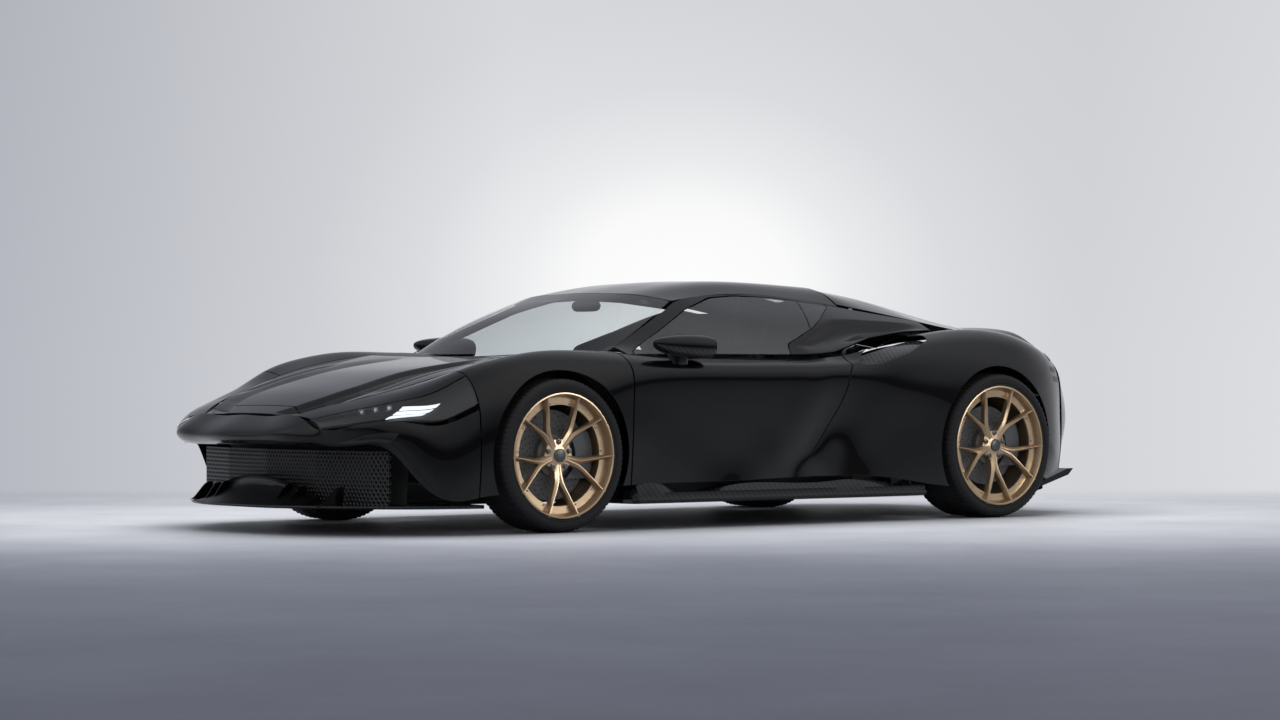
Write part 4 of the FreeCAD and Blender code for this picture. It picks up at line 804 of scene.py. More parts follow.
def rounded(outline, radius, steps=4):
    """An outline with its corners rounded off."""
    outline = np.array(outline, dtype=float)
    result = []
    for before, corner, after in zip(np.roll(outline, 1, axis=0), outline, np.roll(outline, -1, axis=0)):
        first, second = before - corner, after - corner
        near, far = np.linalg.norm(first), np.linalg.norm(second)
        cut = min(radius, near * 0.45, far * 0.45)
        start, end = corner + first / near * cut, corner + second / far * cut
        for share in np.linspace(0, 1, steps):
            result.append((1 - share) ** 2 * start + 2 * share * (1 - share) * corner + share ** 2 * end)
    return np.array(result)


def grown(outline, amount):
    """An outline moved out from its middle."""
    outline = np.array(outline, dtype=float)
    away = outline - outline.mean(axis=0)
    return outline + away * (amount / np.linalg.norm(away, axis=1, keepdims=True))


def scaled(outline, *scales):
    return np.array(outline, dtype=float) * scales


def side_panel(name, surface, domain, counts, material, bodies, nodes, cuts=(), inner=None, radius=EDGE_RADIUS):
    """A left panel and its mirror image. bodies and nodes hold %s where the side's name goes."""
    panels = []
    for side_name, sign in SIDES:
        sheet = Sheet(surface, domain, counts)
        for cut in cuts:
            sheet.clip(cut)
        body = bodies % side_name if "%" in bodies else bodies
        names = [node_name % side_name if "%" in node_name else node_name for node_name in nodes]
        panels.append(add_panel(name + "_" + side_name, sheet, inner or thick(SKIN), material, body, names,
                                mirror=sign < 0, radius=radius))
    return panels


# %% [markdown]
# ## Wings, lamps and bumper
# On the real car these are carbon panels sprayed in one colour. The wheel arch is a round cut whose edge turns
# inwards, so the paint has a crisp rim against the dark of the wheel well.

# %% Front wings
FRONT_ARCH_CENTRE = np.array([1.1949, .3380])
REAR_ARCH_CENTRE = np.array([-1.4549, .3480])
FRONT_ARCH, REAR_ARCH = .374, .384
WING_FRONT, DOOR_FRONT = .690, .338
ALL_LEVELS = np.arange(8.0)


def outside_arch(centre, radius):
    return lambda points: np.linalg.norm(side_view(points) - centre, axis=1) - radius


side_panel("front_wing_skin", SIDE, spans(ALL_LEVELS, [WING_FRONT] * 8, [DOOR_FRONT + .0026] * 8), (84, 64),
           LACQUER, "root", ["front_wing_%s"], [outside_arch(FRONT_ARCH_CENTRE, FRONT_ARCH)])
print("front wings:", triangle_count["front_wing_skin_left"], "triangles each")

# %% Doors
DOOR_REARS = [-.072, -.118, -.160, -.195, -.210, -.220, -.221, -.223]
DOOR_INNER = .845


def door_back(points, normals):
    back = points.copy()
    back[:, 1] = DOOR_INNER
    return back


side_panel("door_skin", SIDE, spans(ALL_LEVELS, [DOOR_FRONT] * 8, DOOR_REARS), (110, 70), LACQUER,
           "door_%s_body", ["door_%s"], [lambda points: points[:, 1] - DOOR_INNER - .0005], door_back)
print("doors:", triangle_count["door_skin_left"], "triangles each")

# %% Rear quarters
GAP_SHARE = .005 / HALF_LENGTH
INTAKE_SHARES = [(-.240, .93, .640), (-.270, .88, .70), (-.374, .80, .80), (-.425, .79, .80), (-.460, .82, .79),
                 (-.450, .88, .750), (-.374, .94, .69), (-.29, .95, .645)]
QUARTER_REARS = [-.860, -.860, -.860, -.860, -.860, -.860, -.858, -.856]


def slanted_view(points):
    return np.stack([points[:, 0], (points[:, 2] - points[:, 1]) * math.sqrt(.5)], axis=1)


intake_outline = rounded(slanted_view(scaled(INTAKE_SHARES, *SHARE_SCALE)), .03)
side_panel("rear_quarter_skin", SIDE, spans(ALL_LEVELS, [rear - GAP_SHARE for rear in DOOR_REARS], QUARTER_REARS),
           (150, 76), LACQUER, "root", ["rear_quarter_%s"],
           [outside_arch(REAR_ARCH_CENTRE, REAR_ARCH), lambda points: -inside(intake_outline, slanted_view(points))])
print("rear quarters:", triangle_count["rear_quarter_skin_left"], "triangles each")

# %% [markdown]
# ## Nose
# One skin goes round the nose from wheel to wheel, with the lamps and the bonnet let into it from above.

# %% Bumper and panels beside the bonnet
bumper_sheet = Sheet(NOSE, straight(0, -18, 0, 4), (150, 26))
add_panel("bumper_skin", bumper_sheet, thick(SKIN), LACQUER, "root", ["front_bumper"])
side_panel("nose_side_skin", SIDE, straight(.9388, .6921, 5.62, 7), (50, 14), LACQUER, "root", ["nose_side_panels"])
COWL_REARS = [(.358, .03), (.406, 1), (.440, 2), (.452, 3), (.440, 4), (.406, 5), (.358, 5.97)]
cowl_levels = [level for rear, level in COWL_REARS]
print("bumper:", triangle_count["bumper_skin"])

# %% [markdown]
# ## Cabin glass and roof
# The windscreen and side windows are laminated and toughened glass. The roof and its rails are one black shell, and
# the side window is a single long teardrop, with a fixed pane behind a thin divider.

# %% Cabin glass and roof
WINDOW_SHARES = [(.300, .66), (.302, .695), (.21, .775), (.11, .872), (.03, .922), (-.04, .932), (-.144, .925),
                 (-.23, .908), (-.29, .895), (-.25, .86), (-.19, .80), (-.10, .73), (-.09, .62), (.25, .60)]
window_outline = rounded(scaled(WINDOW_SHARES, HALF_LENGTH, HEIGHT), .02)
window_inner = grown(window_outline, -.0065)
RAIL_LEVELS = [(.318, .0, 2.88), (.265, .25, 2.88), (.212, .16, 2.88), (.16, .16, 2.88), (.125, .16, 3), (.05, .16, 3),
               (-.04, .16, 3), (-.127, .16, 3), (-.212, .24, 3), (-.265, .48, 3), (-.318, .75, 3), (-.38, .80, 3),
               (-.45, .90, 3), (-.531, 1.05, 3)]


def rail_domain(first, second):
    station = .318 + (-.531 - .318) * first
    stations = np.array([row[0] for row in RAIL_LEVELS])
    low = np.interp(-station, -stations, [row[1] for row in RAIL_LEVELS])
    high = np.interp(-station, -stations, [row[2] for row in RAIL_LEVELS])
    return station, low + (high - low) * second


HOLLOW_DEPTH, HOLLOW_SHARE = .034, .66
HOLLOW_EDGE = np.array([(.73, -.10), (.80, -.19), (.86, -.25), (.895, -.29), (.93, -.31)]) * (HEIGHT, HALF_LENGTH)


class Hollowed:
    """The cabin's side, hollowed behind the window, where air is led down to the intake."""

    def __init__(self, base):
        self.base = base
        self.stations, self.around, self.outward = base.stations, base.around, base.outward

    def points(self, station, level):
        points = self.base.points(station, level)
        stations = np.array([row[0] for row in RAIL_LEVELS])
        low = np.interp(-station, -stations, [row[1] for row in RAIL_LEVELS])
        share = np.clip((level - low) / (2.95 - low) / HOLLOW_SHARE, 0, 1)
        edge = np.interp(points[:, 2], HOLLOW_EDGE[:, 0], HOLLOW_EDGE[:, 1])
        behind = eased((edge - points[:, 0] - .012) / .16) * eased((station + .531) / .14)
        depth = HOLLOW_DEPTH * behind * np.sin(math.pi * share) ** 1.3
        return points - self.base.normals(station, level) * depth[:, None]

    normals = Surface.normals


side_panel("roof_rail", Hollowed(CABIN), rail_domain, (170, 60), LACQUER, "root", [],
           [lambda points: -inside(window_outline, side_view(points))], thick(.010))
DIVIDER = np.array([(-.205, .915), (-.18, .80), (-.18, .6)]) * (HALF_LENGTH, HEIGHT)


def ahead_of_divider(points):
    edge = np.interp(points[:, 2], DIVIDER[::-1, 1], DIVIDER[::-1, 0])
    return points[:, 0] - edge


side_panel("side_window", CABIN, rail_domain, (110, 40), SIDE_GLASS, "door_%s_body", ["door_glass_%s"],
           [lambda points: inside(window_inner, side_view(points)), lambda points: ahead_of_divider(points) - .001],
           thick(.004), .001)
side_panel("quarter_pane", CABIN, rail_domain, (110, 40), SIDE_GLASS, "root", ["quarter_glass"],
           [lambda points: inside(window_inner, side_view(points)), lambda points: -ahead_of_divider(points) - .004],
           thick(.004), .001)
screen_sheet = Sheet(SCREEN, straight(0, -3, 0, 6), (50, 70))
add_panel("windscreen_glass", screen_sheet, thick(GLASS_THICK), CAR_GLASS, "root", ["windscreen"], radius=.001)
roof_sheet = Sheet(ROOF, straight(0, -3, 0, 6), (70, 80))
add_panel("roof_skin", roof_sheet, thick(.010), LACQUER, "root", ["roof_frame"])
print("roof:", triangle_count["roof_skin"])

# %% [markdown]
# ## Engine deck and tail
# The engine cover lifts out of the deck. Its opening is cut a little larger, which leaves an even dark line.

# %% Engine deck
COVER_SHARES = [(-.337, -.35), (-.337, .35), (-.74, .50), (-.74, -.50)]
OPENING_SHARES = [(-.332, -.355), (-.332, .355), (-.743, .506), (-.743, -.506)]
REAR_WINDOW_SHARES = [(-.35, -.27), (-.35, .27), (-.49, .31), (-.49, -.31)]
cover_outline = rounded(scaled(COVER_SHARES, HALF_LENGTH, HALF_SPAN), .03)
opening_outline = rounded(scaled(OPENING_SHARES, HALF_LENGTH, HALF_SPAN), .03)
rear_window_outline = rounded(scaled(REAR_WINDOW_SHARES, HALF_LENGTH, HALF_SPAN), .03)
DECK_EDGES = [(-.322, .15), (-.40, .13), (-.48, .12), (-.56, .12), (-.64, .09), (-.72, .08), (-.80, .08), (-.860, .08)]


def deck_domain(first, second):
    station = -.322 + (-.860 + .322) * first
    edge = np.interp(-station, [-row[0] for row in DECK_EDGES], [row[1] for row in DECK_EDGES])
    return station, edge + (6 - 2 * edge) * second


deck_sheet = Sheet(DECK, deck_domain, (110, 110)).clip(lambda points: -inside(opening_outline, plan_view(points)))
add_panel("deck_skin", deck_sheet, thick(SKIN), LACQUER, "root", ["rear_deck"])
cover_sheet = Sheet(DECK, deck_domain, (110, 110)).clip(lambda points: inside(cover_outline, plan_view(points)))
cover_sheet.clip(lambda points: -inside(rear_window_outline, plan_view(points)))
add_panel("engine_cover_skin", cover_sheet, thick(SKIN), LACQUER, "engine_lid", ["engine_cover"])
pane_sheet = Sheet(DECK, deck_domain, (110, 110)).clip(lambda points: inside(grown(rear_window_outline, -.004), plan_view(points)))
add_panel("rear_pane", pane_sheet, thick(GLASS_THICK), SIDE_GLASS, "engine_lid", ["rear_window"], radius=.001)

# %% Tail
LAMP_CENTRES = (.62, .42)
LAMP_WIDE, LAMP_TALL, LAMP_HEIGHT = .14, .075 * HEIGHT, .615 * HEIGHT
PIPE_PLACE, PIPE_HEIGHT, PIPE_RADIUS = .145, .56 * HEIGHT, .062


def lamp_outline(centre, extra=0.0):
    wide, tall = LAMP_WIDE / 2 + extra, LAMP_TALL / 2 + extra
    return rounded([(centre - wide, LAMP_HEIGHT - tall), (centre + wide, LAMP_HEIGHT - tall),
                    (centre + wide, LAMP_HEIGHT + tall), (centre - wide, LAMP_HEIGHT + tall)], .024, 6)


def rear_view(points):
    return points[:, (1, 2)]


tail_sheet = Sheet(TAIL, straight(0, -8, 0, 5), (170, 70))
for sign in (1, -1):
    for centre in LAMP_CENTRES:
        tail_sheet.clip(lambda points, c=sign * centre: -inside(lamp_outline(c), rear_view(points)))
    tail_sheet.clip(lambda points, s=sign: np.linalg.norm(rear_view(points) - (s * PIPE_PLACE, PIPE_HEIGHT), axis=1) - PIPE_RADIUS - .002)
add_panel("tail_skin", tail_sheet, thick(SKIN), LACQUER, "root", ["rear_bumper"])
for side_name, sign in SIDES:
    for place, centre in enumerate(LAMP_CENTRES):
        lens_sheet = Sheet(TAIL, straight(0, -8, 0, 5), (170, 70)).clip(lambda points, c=sign * centre: inside(lamp_outline(c, -.0015), rear_view(points)))
        lens = add_panel("tail_lens_%s_%d" % (side_name, place + 1), lens_sheet, thick(.02), TAIL_RED, "root", ["tail_lamps"], radius=.004)
spoiler_sheet = Sheet(LIP, straight(0, -2, 0, 6), (24, 90))
add_panel("spoiler_blade", spoiler_sheet, thick(SKIN), CARBON, "root", ["rear_spoiler"])
print("tail:", triangle_count["tail_skin"], "spoiler:", triangle_count["spoiler_blade"])

# %% [markdown]
# ## Parts made of rings
# Round and long parts are drawn as rows of rings. Where a part has real edges, every long face gets points of its
# own, which keeps the edge crisp; after that, shading is smooth wherever two faces meet at a small angle.

# %% Building rows of sections
class Parts:
    """Loose faces gathered into one mesh."""

    def __init__(self):
        self.vertices, self.faces = [], []

    def add(self, points, faces):
        base = len(self.vertices)
        self.vertices += [tuple(point) for point in points]
        self.faces += [tuple(base + corner for corner in face) for face in faces]

    def loft(self, rings, closed=True, sharp=True, caps=True):
        """Faces between rings of equally many points, each long strip on its own points if sharp."""
        rings = np.array(rings, dtype=float)
        rows, columns = rings.shape[:2]
        if sharp:
            for column in range(columns if closed else columns - 1):
                pair = rings[:, (column, (column + 1) % columns)].reshape(-1, 3)
                self.add(pair, [(2 * r, 2 * r + 1, 2 * r + 3, 2 * r + 2) for r in range(rows - 1)])
        else:
            wide = columns if closed else columns - 1
            self.add(rings.reshape(-1, 3), [(r * columns + c, r * columns + (c + 1) % columns,
                                             (r + 1) * columns + (c + 1) % columns, (r + 1) * columns + c)
                                            for r in range(rows - 1) for c in range(wide)])
        if caps:
            self.add(rings[0], [tuple(range(columns))[::-1]])
            self.add(rings[-1], [tuple(range(columns))])

    def turn(self, profile, steps=144, closed=False, sharp=True, start=0.0, sweep=2 * math.pi):
        """A profile of (radius, place) turned about the Y axis."""
        angles = start + sweep * np.arange(steps + 1) / steps
        rings = [[(radius * math.cos(angle), place, radius * math.sin(angle)) for radius, place in profile] for angle in angles]
        self.loft(rings, closed=closed, sharp=sharp, caps=False)

    def moved(self, offset):
        self.vertices = [tuple(np.array(vertex) + offset) for vertex in self.vertices]
        return self

    def object(self, name, materials, body, nodes=(), mirror=False):
        thing = mesh_object(name, self.vertices, self.faces, materials=materials, mirror=mirror)
        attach(thing, body)
        if nodes:
            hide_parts(*nodes)
        triangle_count[name] = sum(len(face) - 2 for face in self.faces)
        return thing


def disc_faces(centre, radius, depth, direction=1, steps=24, dome=0.0):
    """A small round boss along Y: its side, its rim and a slightly domed face."""
    parts = Parts()
    profile = [(radius, 0), (radius, depth * direction), (radius * .88, (depth + dome * .5) * direction), (0.0, (depth + dome) * direction)]
    parts.turn(profile, steps)
    return parts.moved(centre)


def shade_by_angle(thing, degrees=30):
    """Smooth shading that keeps edges steeper than the angle sharp."""
    mesh = thing.data
    edit = bmesh.new()
    edit.from_mesh(mesh)
    bmesh.ops.remove_doubles(edit, verts=edit.verts, dist=1e-5)
    bmesh.ops.recalc_face_normals(edit, faces=edit.faces)
    limit = math.radians(degrees)
    for edge in edit.edges:
        edge.smooth = len(edge.link_faces) == 2 and edge.calc_face_angle(0.0) < limit
    for face in edit.faces:
        face.smooth = True
    edit.to_mesh(mesh)
    edit.free()
    return thing

# %% [markdown]
# ## Details of the nose
# The bonnet's raised centre stands between two long valleys that lead air up from the nose. They are pressed into
# the smooth surface by a relief, so the panel stays one sheet with soft shoulders, as a moulded panel would be.

# %% Bonnet with its valleys
class Pressed:
    """A surface pressed up or down by a relief that depends on the place in plan."""

    def __init__(self, base, relief):
        self.base, self.relief = base, relief
        self.stations, self.around, self.outward = base.stations, base.around, base.outward

    def points(self, station, level):
        points = self.base.points(station, level)
        points[:, 2] += self.relief(points[:, 0], np.abs(points[:, 1]))
        return points

    normals = Surface.normals


VALLEY_DEPTH, VALLEY_WALL, VALLEY_WIDE = .024, .040, .20
CREST_PLACES = np.array([1.05, 1.30, 1.62, 1.85, 2.02, 2.12, 2.20])
CREST_HALVES = np.array([.30, .30, .29, .31, .29, .24, .17])


def bonnet_relief(x, y):
    """The valleys beside the raised centre, and the shorter crease outboard of each."""
    crest = np.interp(x, CREST_PLACES, CREST_HALVES)
    deep = eased((x - 1.12) / .25) * eased((2.215 - x) / .07)
    valley = eased((y - crest) / VALLEY_WALL) * (1 - eased((y - crest - VALLEY_WALL) / VALLEY_WIDE))
    crease_deep = eased((x - 1.35) / .12) * eased((1.95 - x) / .12)
    crease = np.exp(-((y - .525) / .022) ** 2)
    return -VALLEY_DEPTH * deep * valley - .007 * crease_deep * crease


class Sunk:
    """A surface let in below another by an even depth."""

    def __init__(self, base, depth):
        self.base, self.depth = base, depth
        self.stations, self.around, self.outward = base.stations, base.around, base.outward

    def points(self, station, level):
        return self.base.points(station, level) - self.base.normals(station, level) * self.depth

    def normals(self, station, level):
        return self.base.normals(station, level)


BONNET_PRESSED = Pressed(BONNET, bonnet_relief)
CAP_STATION, BONNET_REAR = .9010, .460
lid_sheet = Sheet(BONNET_PRESSED, straight(CAP_STATION, BONNET_REAR, .06, 5.94), (120, 170))
add_panel("bonnet_skin", lid_sheet, thick(SKIN), LACQUER, "bonnet_lid", ["bonnet"])
cap_sheet = Sheet(BONNET_PRESSED, straight(.936, CAP_STATION + .0017, .06, 5.94), (14, 150))
add_panel("nose_cap", cap_sheet, thick(SKIN), LACQUER, "bonnet_lid", [])
frame_sheet = Sheet(Sunk(BONNET_PRESSED, .013), straight(.9352, .462, .03, 5.97), (60, 80))
add_panel("bonnet_inner_frame", frame_sheet, thick(.002), SATIN_BLACK, "bonnet_lid", [])
side_panel("nose_gap_strip", Sunk(SIDE, .012), straight(.9480, .9330, 3.6, 6.95), (6, 40), SATIN_BLACK, "root", [], inner=thick(.002))
print("bonnet:", triangle_count["bonnet_skin"], "triangles")

# %% Cowl below the windscreen
cowl_sheet = Sheet(BONNET, spans(cowl_levels, [.4555] * 7, [rear for rear, level in COWL_REARS]), (16, 90))
add_panel("cowl_skin", cowl_sheet, thick(SKIN), SATIN_BLACK, "root", ["cowl_panel"])
CORNER_ROWS = [(.338, 5.72), (.303, 5.76), (.299, 6.38), (.290, 6.40), (.240, 6.75), (.222, 6.92)]


def corner_domain(first, second):
    station = .338 + (.222 - .338) * first
    low = np.interp(-station, [-row[0] for row in CORNER_ROWS], [row[1] for row in CORNER_ROWS])
    return station, low + (7 - low) * second


side_panel("cowl_corner", SIDE, corner_domain, (26, 8), LACQUER, "root", [], radius=.001)

# %% [markdown]
# ## Headlamps
# A smoked cover lies flush with the wing. Behind it is a dark housing with small projector lenses at its inner
# corner, and low at the back three slanted white light pipes, one above the other.

# %% Headlamps
LAMP_STATIONS, LAMP_LEVELS = (.9409, .6921), (3.85, 5.55)
BAR_CORNERS = [(.8551, 3.90), (.7939, 4.26), (.7504, 4.96), (.8107, 5.24)]


def lamp_domain(low_share, high_share):
    wide = LAMP_LEVELS[1] - LAMP_LEVELS[0]
    return straight(*LAMP_STATIONS, LAMP_LEVELS[0] + wide * low_share, LAMP_LEVELS[0] + wide * high_share)


side_panel("headlamp_cover", SIDE, lamp_domain(0, 1), (50, 20), LENS, "root", ["headlamps"], inner=thick(.003), radius=.0015)
side_panel("headlamp_housing", Sunk(SIDE, .022), lamp_domain(.01, .99), (50, 20), SATIN_BLACK, "root", [], inner=thick(.004))


def bar_domain(number):
    """One of three slanted bars across the four corners of the running light."""
    corners = np.array(BAR_CORNERS)
    low, high = (number + .14) / 3, (number + .78) / 3

    def domain(first, second):
        share = low + (high - low) * second
        fronts = corners[0] + (corners[3] - corners[0]) * share[:, None]
        rears = corners[1] + (corners[2] - corners[1]) * share[:, None]
        place = fronts + (rears - fronts) * first[:, None]
        return place[:, 0], place[:, 1]
    return domain


for number in range(3):
    side_panel("running_light_%d" % (number + 1), Sunk(SIDE, .006), bar_domain(number), (16, 4), RUNNING_LIGHT, "root", [],
               inner=thick(.006), radius=.001)
for side_name, sign in SIDES:
    for number, (station, level) in enumerate([(.872, 6.0 - .62), (.852, 5.33), (.831, 5.30)]):
        centre = SIDE.points(np.array([station]), np.array([level]))[0] - (0, .012, .012)
        barrel = Parts()
        barrel.turn([(.0, .0), (.0085, .001), (.0125, .004), (.0135, .0), (.0150, .0), (.0150, -.016), (0, -.016)], 32)
        barrel.moved(centre)
        shade_by_angle(barrel.object("lamp_projector_%s_%d" % (side_name, number + 1), [EXTRUDED_BRIGHT], "root", (), sign < 0))

# %% [markdown]
# ## Front opening
# The big opening under the nose is lined with a dark duct and closed by a hexagonal mesh. A mesh of this kind is
# pressed from one sheet, so each cell is a ring that shares its walls with its neighbours.

# %% Hexagonal mesh
def hexagon_mesh(name, frame_points, cell, wall, depth, material, body, nodes=(), keep=None):
    """A mesh over a sheet. frame_points turns flat places in metres, and a depth, into points."""
    parts = Parts()
    rows, columns = frame_points.counts(cell)
    corner_angles = math.pi / 6 + np.arange(6) * math.pi / 3
    for row in range(rows):
        for column in range(columns):
            across = (column + (row % 2) * .5) * cell
            up = row * cell * math.sqrt(.75)
            if keep is not None and not keep(across, up):
                continue
            outer = [(across + cell / math.sqrt(3) * math.cos(a), up + cell / math.sqrt(3) * math.sin(a)) for a in corner_angles]
            inner = [(across + (cell / math.sqrt(3) - wall) * math.cos(a), up + (cell / math.sqrt(3) - wall) * math.sin(a)) for a in corner_angles]
            front_outer, front_inner = frame_points.place(outer, 0), frame_points.place(inner, 0)
            back_inner = frame_points.place(inner, depth)
            points = np.concatenate([front_outer, front_inner, back_inner])
            faces = []
            for k in range(6):
                n = (k + 1) % 6
                faces += [(k, n, 6 + n, 6 + k), (6 + k, 6 + n, 12 + n, 12 + k)]
            parts.add(points, faces)
    return parts.object(name, [material], body, nodes)


class GrilleSheet:
    """The bent sheet that the front mesh lies on, from the right corner to the left."""

    def __init__(self, bends, low, high):
        self.bends = np.array(bends)
        steps = np.linalg.norm(np.diff(self.bends, axis=0), axis=1)
        self.along = np.concatenate([[0], np.cumsum(steps)])
        self.low, self.high = low, high

    def counts(self, cell):
        return int((self.high - self.low) / (cell * math.sqrt(.75))), int(self.along[-1] / cell)

    def place(self, flat, depth):
        flat = np.array(flat)
        x = np.interp(flat[:, 0], self.along, self.bends[:, 0]) - depth
        y = np.interp(flat[:, 0], self.along, self.bends[:, 1])
        return np.stack([x, y, self.low + flat[:, 1]], axis=1)


GRILLE_BENDS = [(1.955, -.745), (2.015, -.66), (2.090, -.35), (2.118, 0), (2.090, .35), (2.015, .66), (1.955, .745)]
grille_sheet = GrilleSheet(GRILLE_BENDS, .140, .388)
hexagon_mesh("front_mesh", grille_sheet, .0205, .0040, .012, SATIN_BLACK, "root", ["front_grille"])
duct = Parts()
duct_rows = []
for x, y in GRILLE_BENDS:
    duct_rows.append([(x - .03, y * .98, .385), (x - .10, y * .94, .380), (x - .13, y * .90, .26), (x - .10, y * .94, .132), (x - .02, y * .98, .131)])
duct.loft(duct_rows, closed=False, sharp=False, caps=False)
shade_by_angle(duct.object("intake_duct", [BLACK_PLASTIC], "root"))

# %% Splitter, winglets and the slots below the lamps
splitter = Parts()
SPLITTER_EDGE = [(2.309, 0), (2.309, .12), (2.300, .25), (2.262, .38), (2.199, .50), (2.115, .62), (2.021, .72), (1.925, .80),
                 (1.829, .86), (1.725, .90), (1.6205, .918)]
for sign in (1, -1):
    rings = []
    for x, y in SPLITTER_EDGE:
        inner_x = min(x - .06, 1.90)
        inner_y = y * .66
        rings.append([(inner_x, sign * inner_y, .1295), (x - .030, sign * y * .985, .1297), (x - .004, sign * y, .1270),
                      (x, sign * y, .1225), (x - .004, sign * y, .1180), (x - .03, sign * y * .985, .1140), (inner_x, sign * inner_y, .1125)])
    splitter.loft(rings, closed=True, sharp=False, caps=True)
shade_by_angle(splitter.object("splitter_blade", [CARBON], "root", ["front_splitter"]), 40)
ramp_parts = Parts()
rings = []
for share in np.linspace(-1, 1, 61):
    y = .40 * share
    rise = .62 - .42 * abs(share) ** 2
    back = .34 * y * y
    rings.append([(x - back, y, .1285 + z * rise) for x, z in ((2.296, 0), (2.284, .012), (2.262, .034), (2.238, .060), (2.214, .086),
                                                             (2.194, .108), (2.180, .128), (2.172, .150), (2.174, .176), (2.184, .196), (2.170, .200),
                                                             (2.158, .150), (2.150, .0))])
ramp_parts.loft(rings, closed=False, sharp=False, caps=True)
shade_by_angle(ramp_parts.object("splitter_ramp", [SATIN_BLACK], "root"), 40)
for side_name, sign in SIDES:
    fin = Parts()
    for place_y, tall, back in ((.245, .088, .115), (.330, .080, .110), (.515, .078, .130)):
        rings = []
        for share in np.linspace(0, 1, 12):
            x = 2.284 - .34 * place_y ** 2 - back * share
            top = .130 + tall * eased(share * 1.15)
            rings.append([(x, place_y - .004, .129), (x, place_y - .003 + .016 * share, top), (x, place_y + .003 + .016 * share, top), (x, place_y + .004, .129)])
        fin.loft(rings, closed=True)
    shade_by_angle(fin.object("splitter_winglets_" + side_name, [LACQUER], "root", (), sign < 0), 40)
SLOT_CORNERS = [(.925, .95), (.852, .90), (.836, 2.33), (.885, 1.9)]


def corner_domain_of(corners):
    corners = np.array(corners)

    def domain(first, second):
        low = corners[0] + (corners[1] - corners[0]) * first[:, None]
        high = corners[3] + (corners[2] - corners[3]) * first[:, None]
        place = low + (high - low) * second[:, None]
        return place[:, 0], place[:, 1]
    return domain


# Painted shade: the slot is a flat satin black patch just proud of the skin, its black standing for the shade inside a
# slot; a lacquered blade stands on it.
side_panel("slot_recess", Sunk(SIDE, -.0006), corner_domain_of(SLOT_CORNERS), (18, 8), SATIN_BLACK, "root", [], inner=thick(.004), radius=.0008)
side_panel("slot_blade", Sunk(SIDE, -.004), corner_domain_of([(.900, 1.30), (.850, 1.30), (.846, 1.62), (.893, 1.55)]), (18, 4), LACQUER,
           "root", [], inner=thick(.004), radius=.0008)
CREASE = [(.8480, .86), (.8260, .62), (.7983, .38), (.7780, .26), (.7619, .17), (.735, .10), (.705, .06)]


def crease_domain(first, second):
    share = first * (len(CREASE) - 1)
    station = np.interp(share, range(len(CREASE)), [row[0] for row in CREASE])
    level = np.interp(share, range(len(CREASE)), [row[1] for row in CREASE])
    return station, level + .075 * second


side_panel("bumper_crease", Sunk(SIDE, -.0035), crease_domain, (40, 3), LACQUER, "root", [], inner=thick(.0035), radius=.0012)
print("front mesh triangles:", triangle_count["front_mesh"])

# %% [markdown]
# ## Wheels
# The real wheels are forged in two pieces: a centre with five Y spokes, bolted to a deep lip by a ring of small
# bolts. Each arm of a spoke is a ridge that runs from the hub out to the very edge of the lip, so an arm is drawn
# as a row of cross sections along its path. Every long face gets points of its own, which keeps the ridges sharp
# and the faces smooth along their length.

# %% Rim
SPOKE_COUNT = 5
LIP_FLANGE, HUB_SET = .014, .040
BOLT_CIRCLE = .060


def spoke_arm(parts, lip, face, side):
    """One arm of a Y spoke that points down, as a ridge from the hub to the lip."""
    reach = np.array([.030, .060, .088, .115, .140, .175, .215, lip - .020, lip - .006])
    tip_swing = math.sin(math.pi / (2 * SPOKE_COUNT))
    across = np.array([.004, .006, .0075, .0115, .0215, .040, .0575, (lip - .020) * tip_swing, (lip - .006) * tip_swing])
    across[5:7] = across[4] + (across[7] - across[4]) * (reach[5:7] - reach[4]) / (reach[7] - reach[4])
    half = np.array([.0165, .0155, .0140, .0125, .0105, .0090, .0082, .0076, .0045])
    front = np.array([-HUB_SET, -HUB_SET + .002, -.033, -.028, -.0235, -.017, -.0105, -.004, -.0015]) + face
    deep = np.array([.034, .036, .036, .035, .034, .033, .032, .030, .014])
    rings = []
    for place in range(len(reach)):
        before, after = max(place - 1, 0), min(place + 1, len(reach) - 1)
        along = np.array([side * (across[after] - across[before]), -(reach[after] - reach[before])])
        along /= np.linalg.norm(along)
        beside = np.array([along[1], -along[0]])
        middle = np.array([side * across[place], -reach[place]])
        section = [(-1.25, -deep[place]), (-1.0, -.010), (-.22, 0), (.22, 0), (1.0, -.010), (1.25, -deep[place])]
        ring = []
        for wide, level in section:
            flat = middle + beside * wide * half[place]
            ring.append((flat[0], front[place] + level, flat[1]))
        rings.append(ring)
    parts.loft(rings, closed=True)


def turned_about_y(points, angle):
    points = np.array(points)
    c, s = math.cos(angle), math.sin(angle)
    return np.stack([points[:, 0] * c - points[:, 2] * s, points[:, 1], points[:, 0] * s + points[:, 2] * c], axis=1)


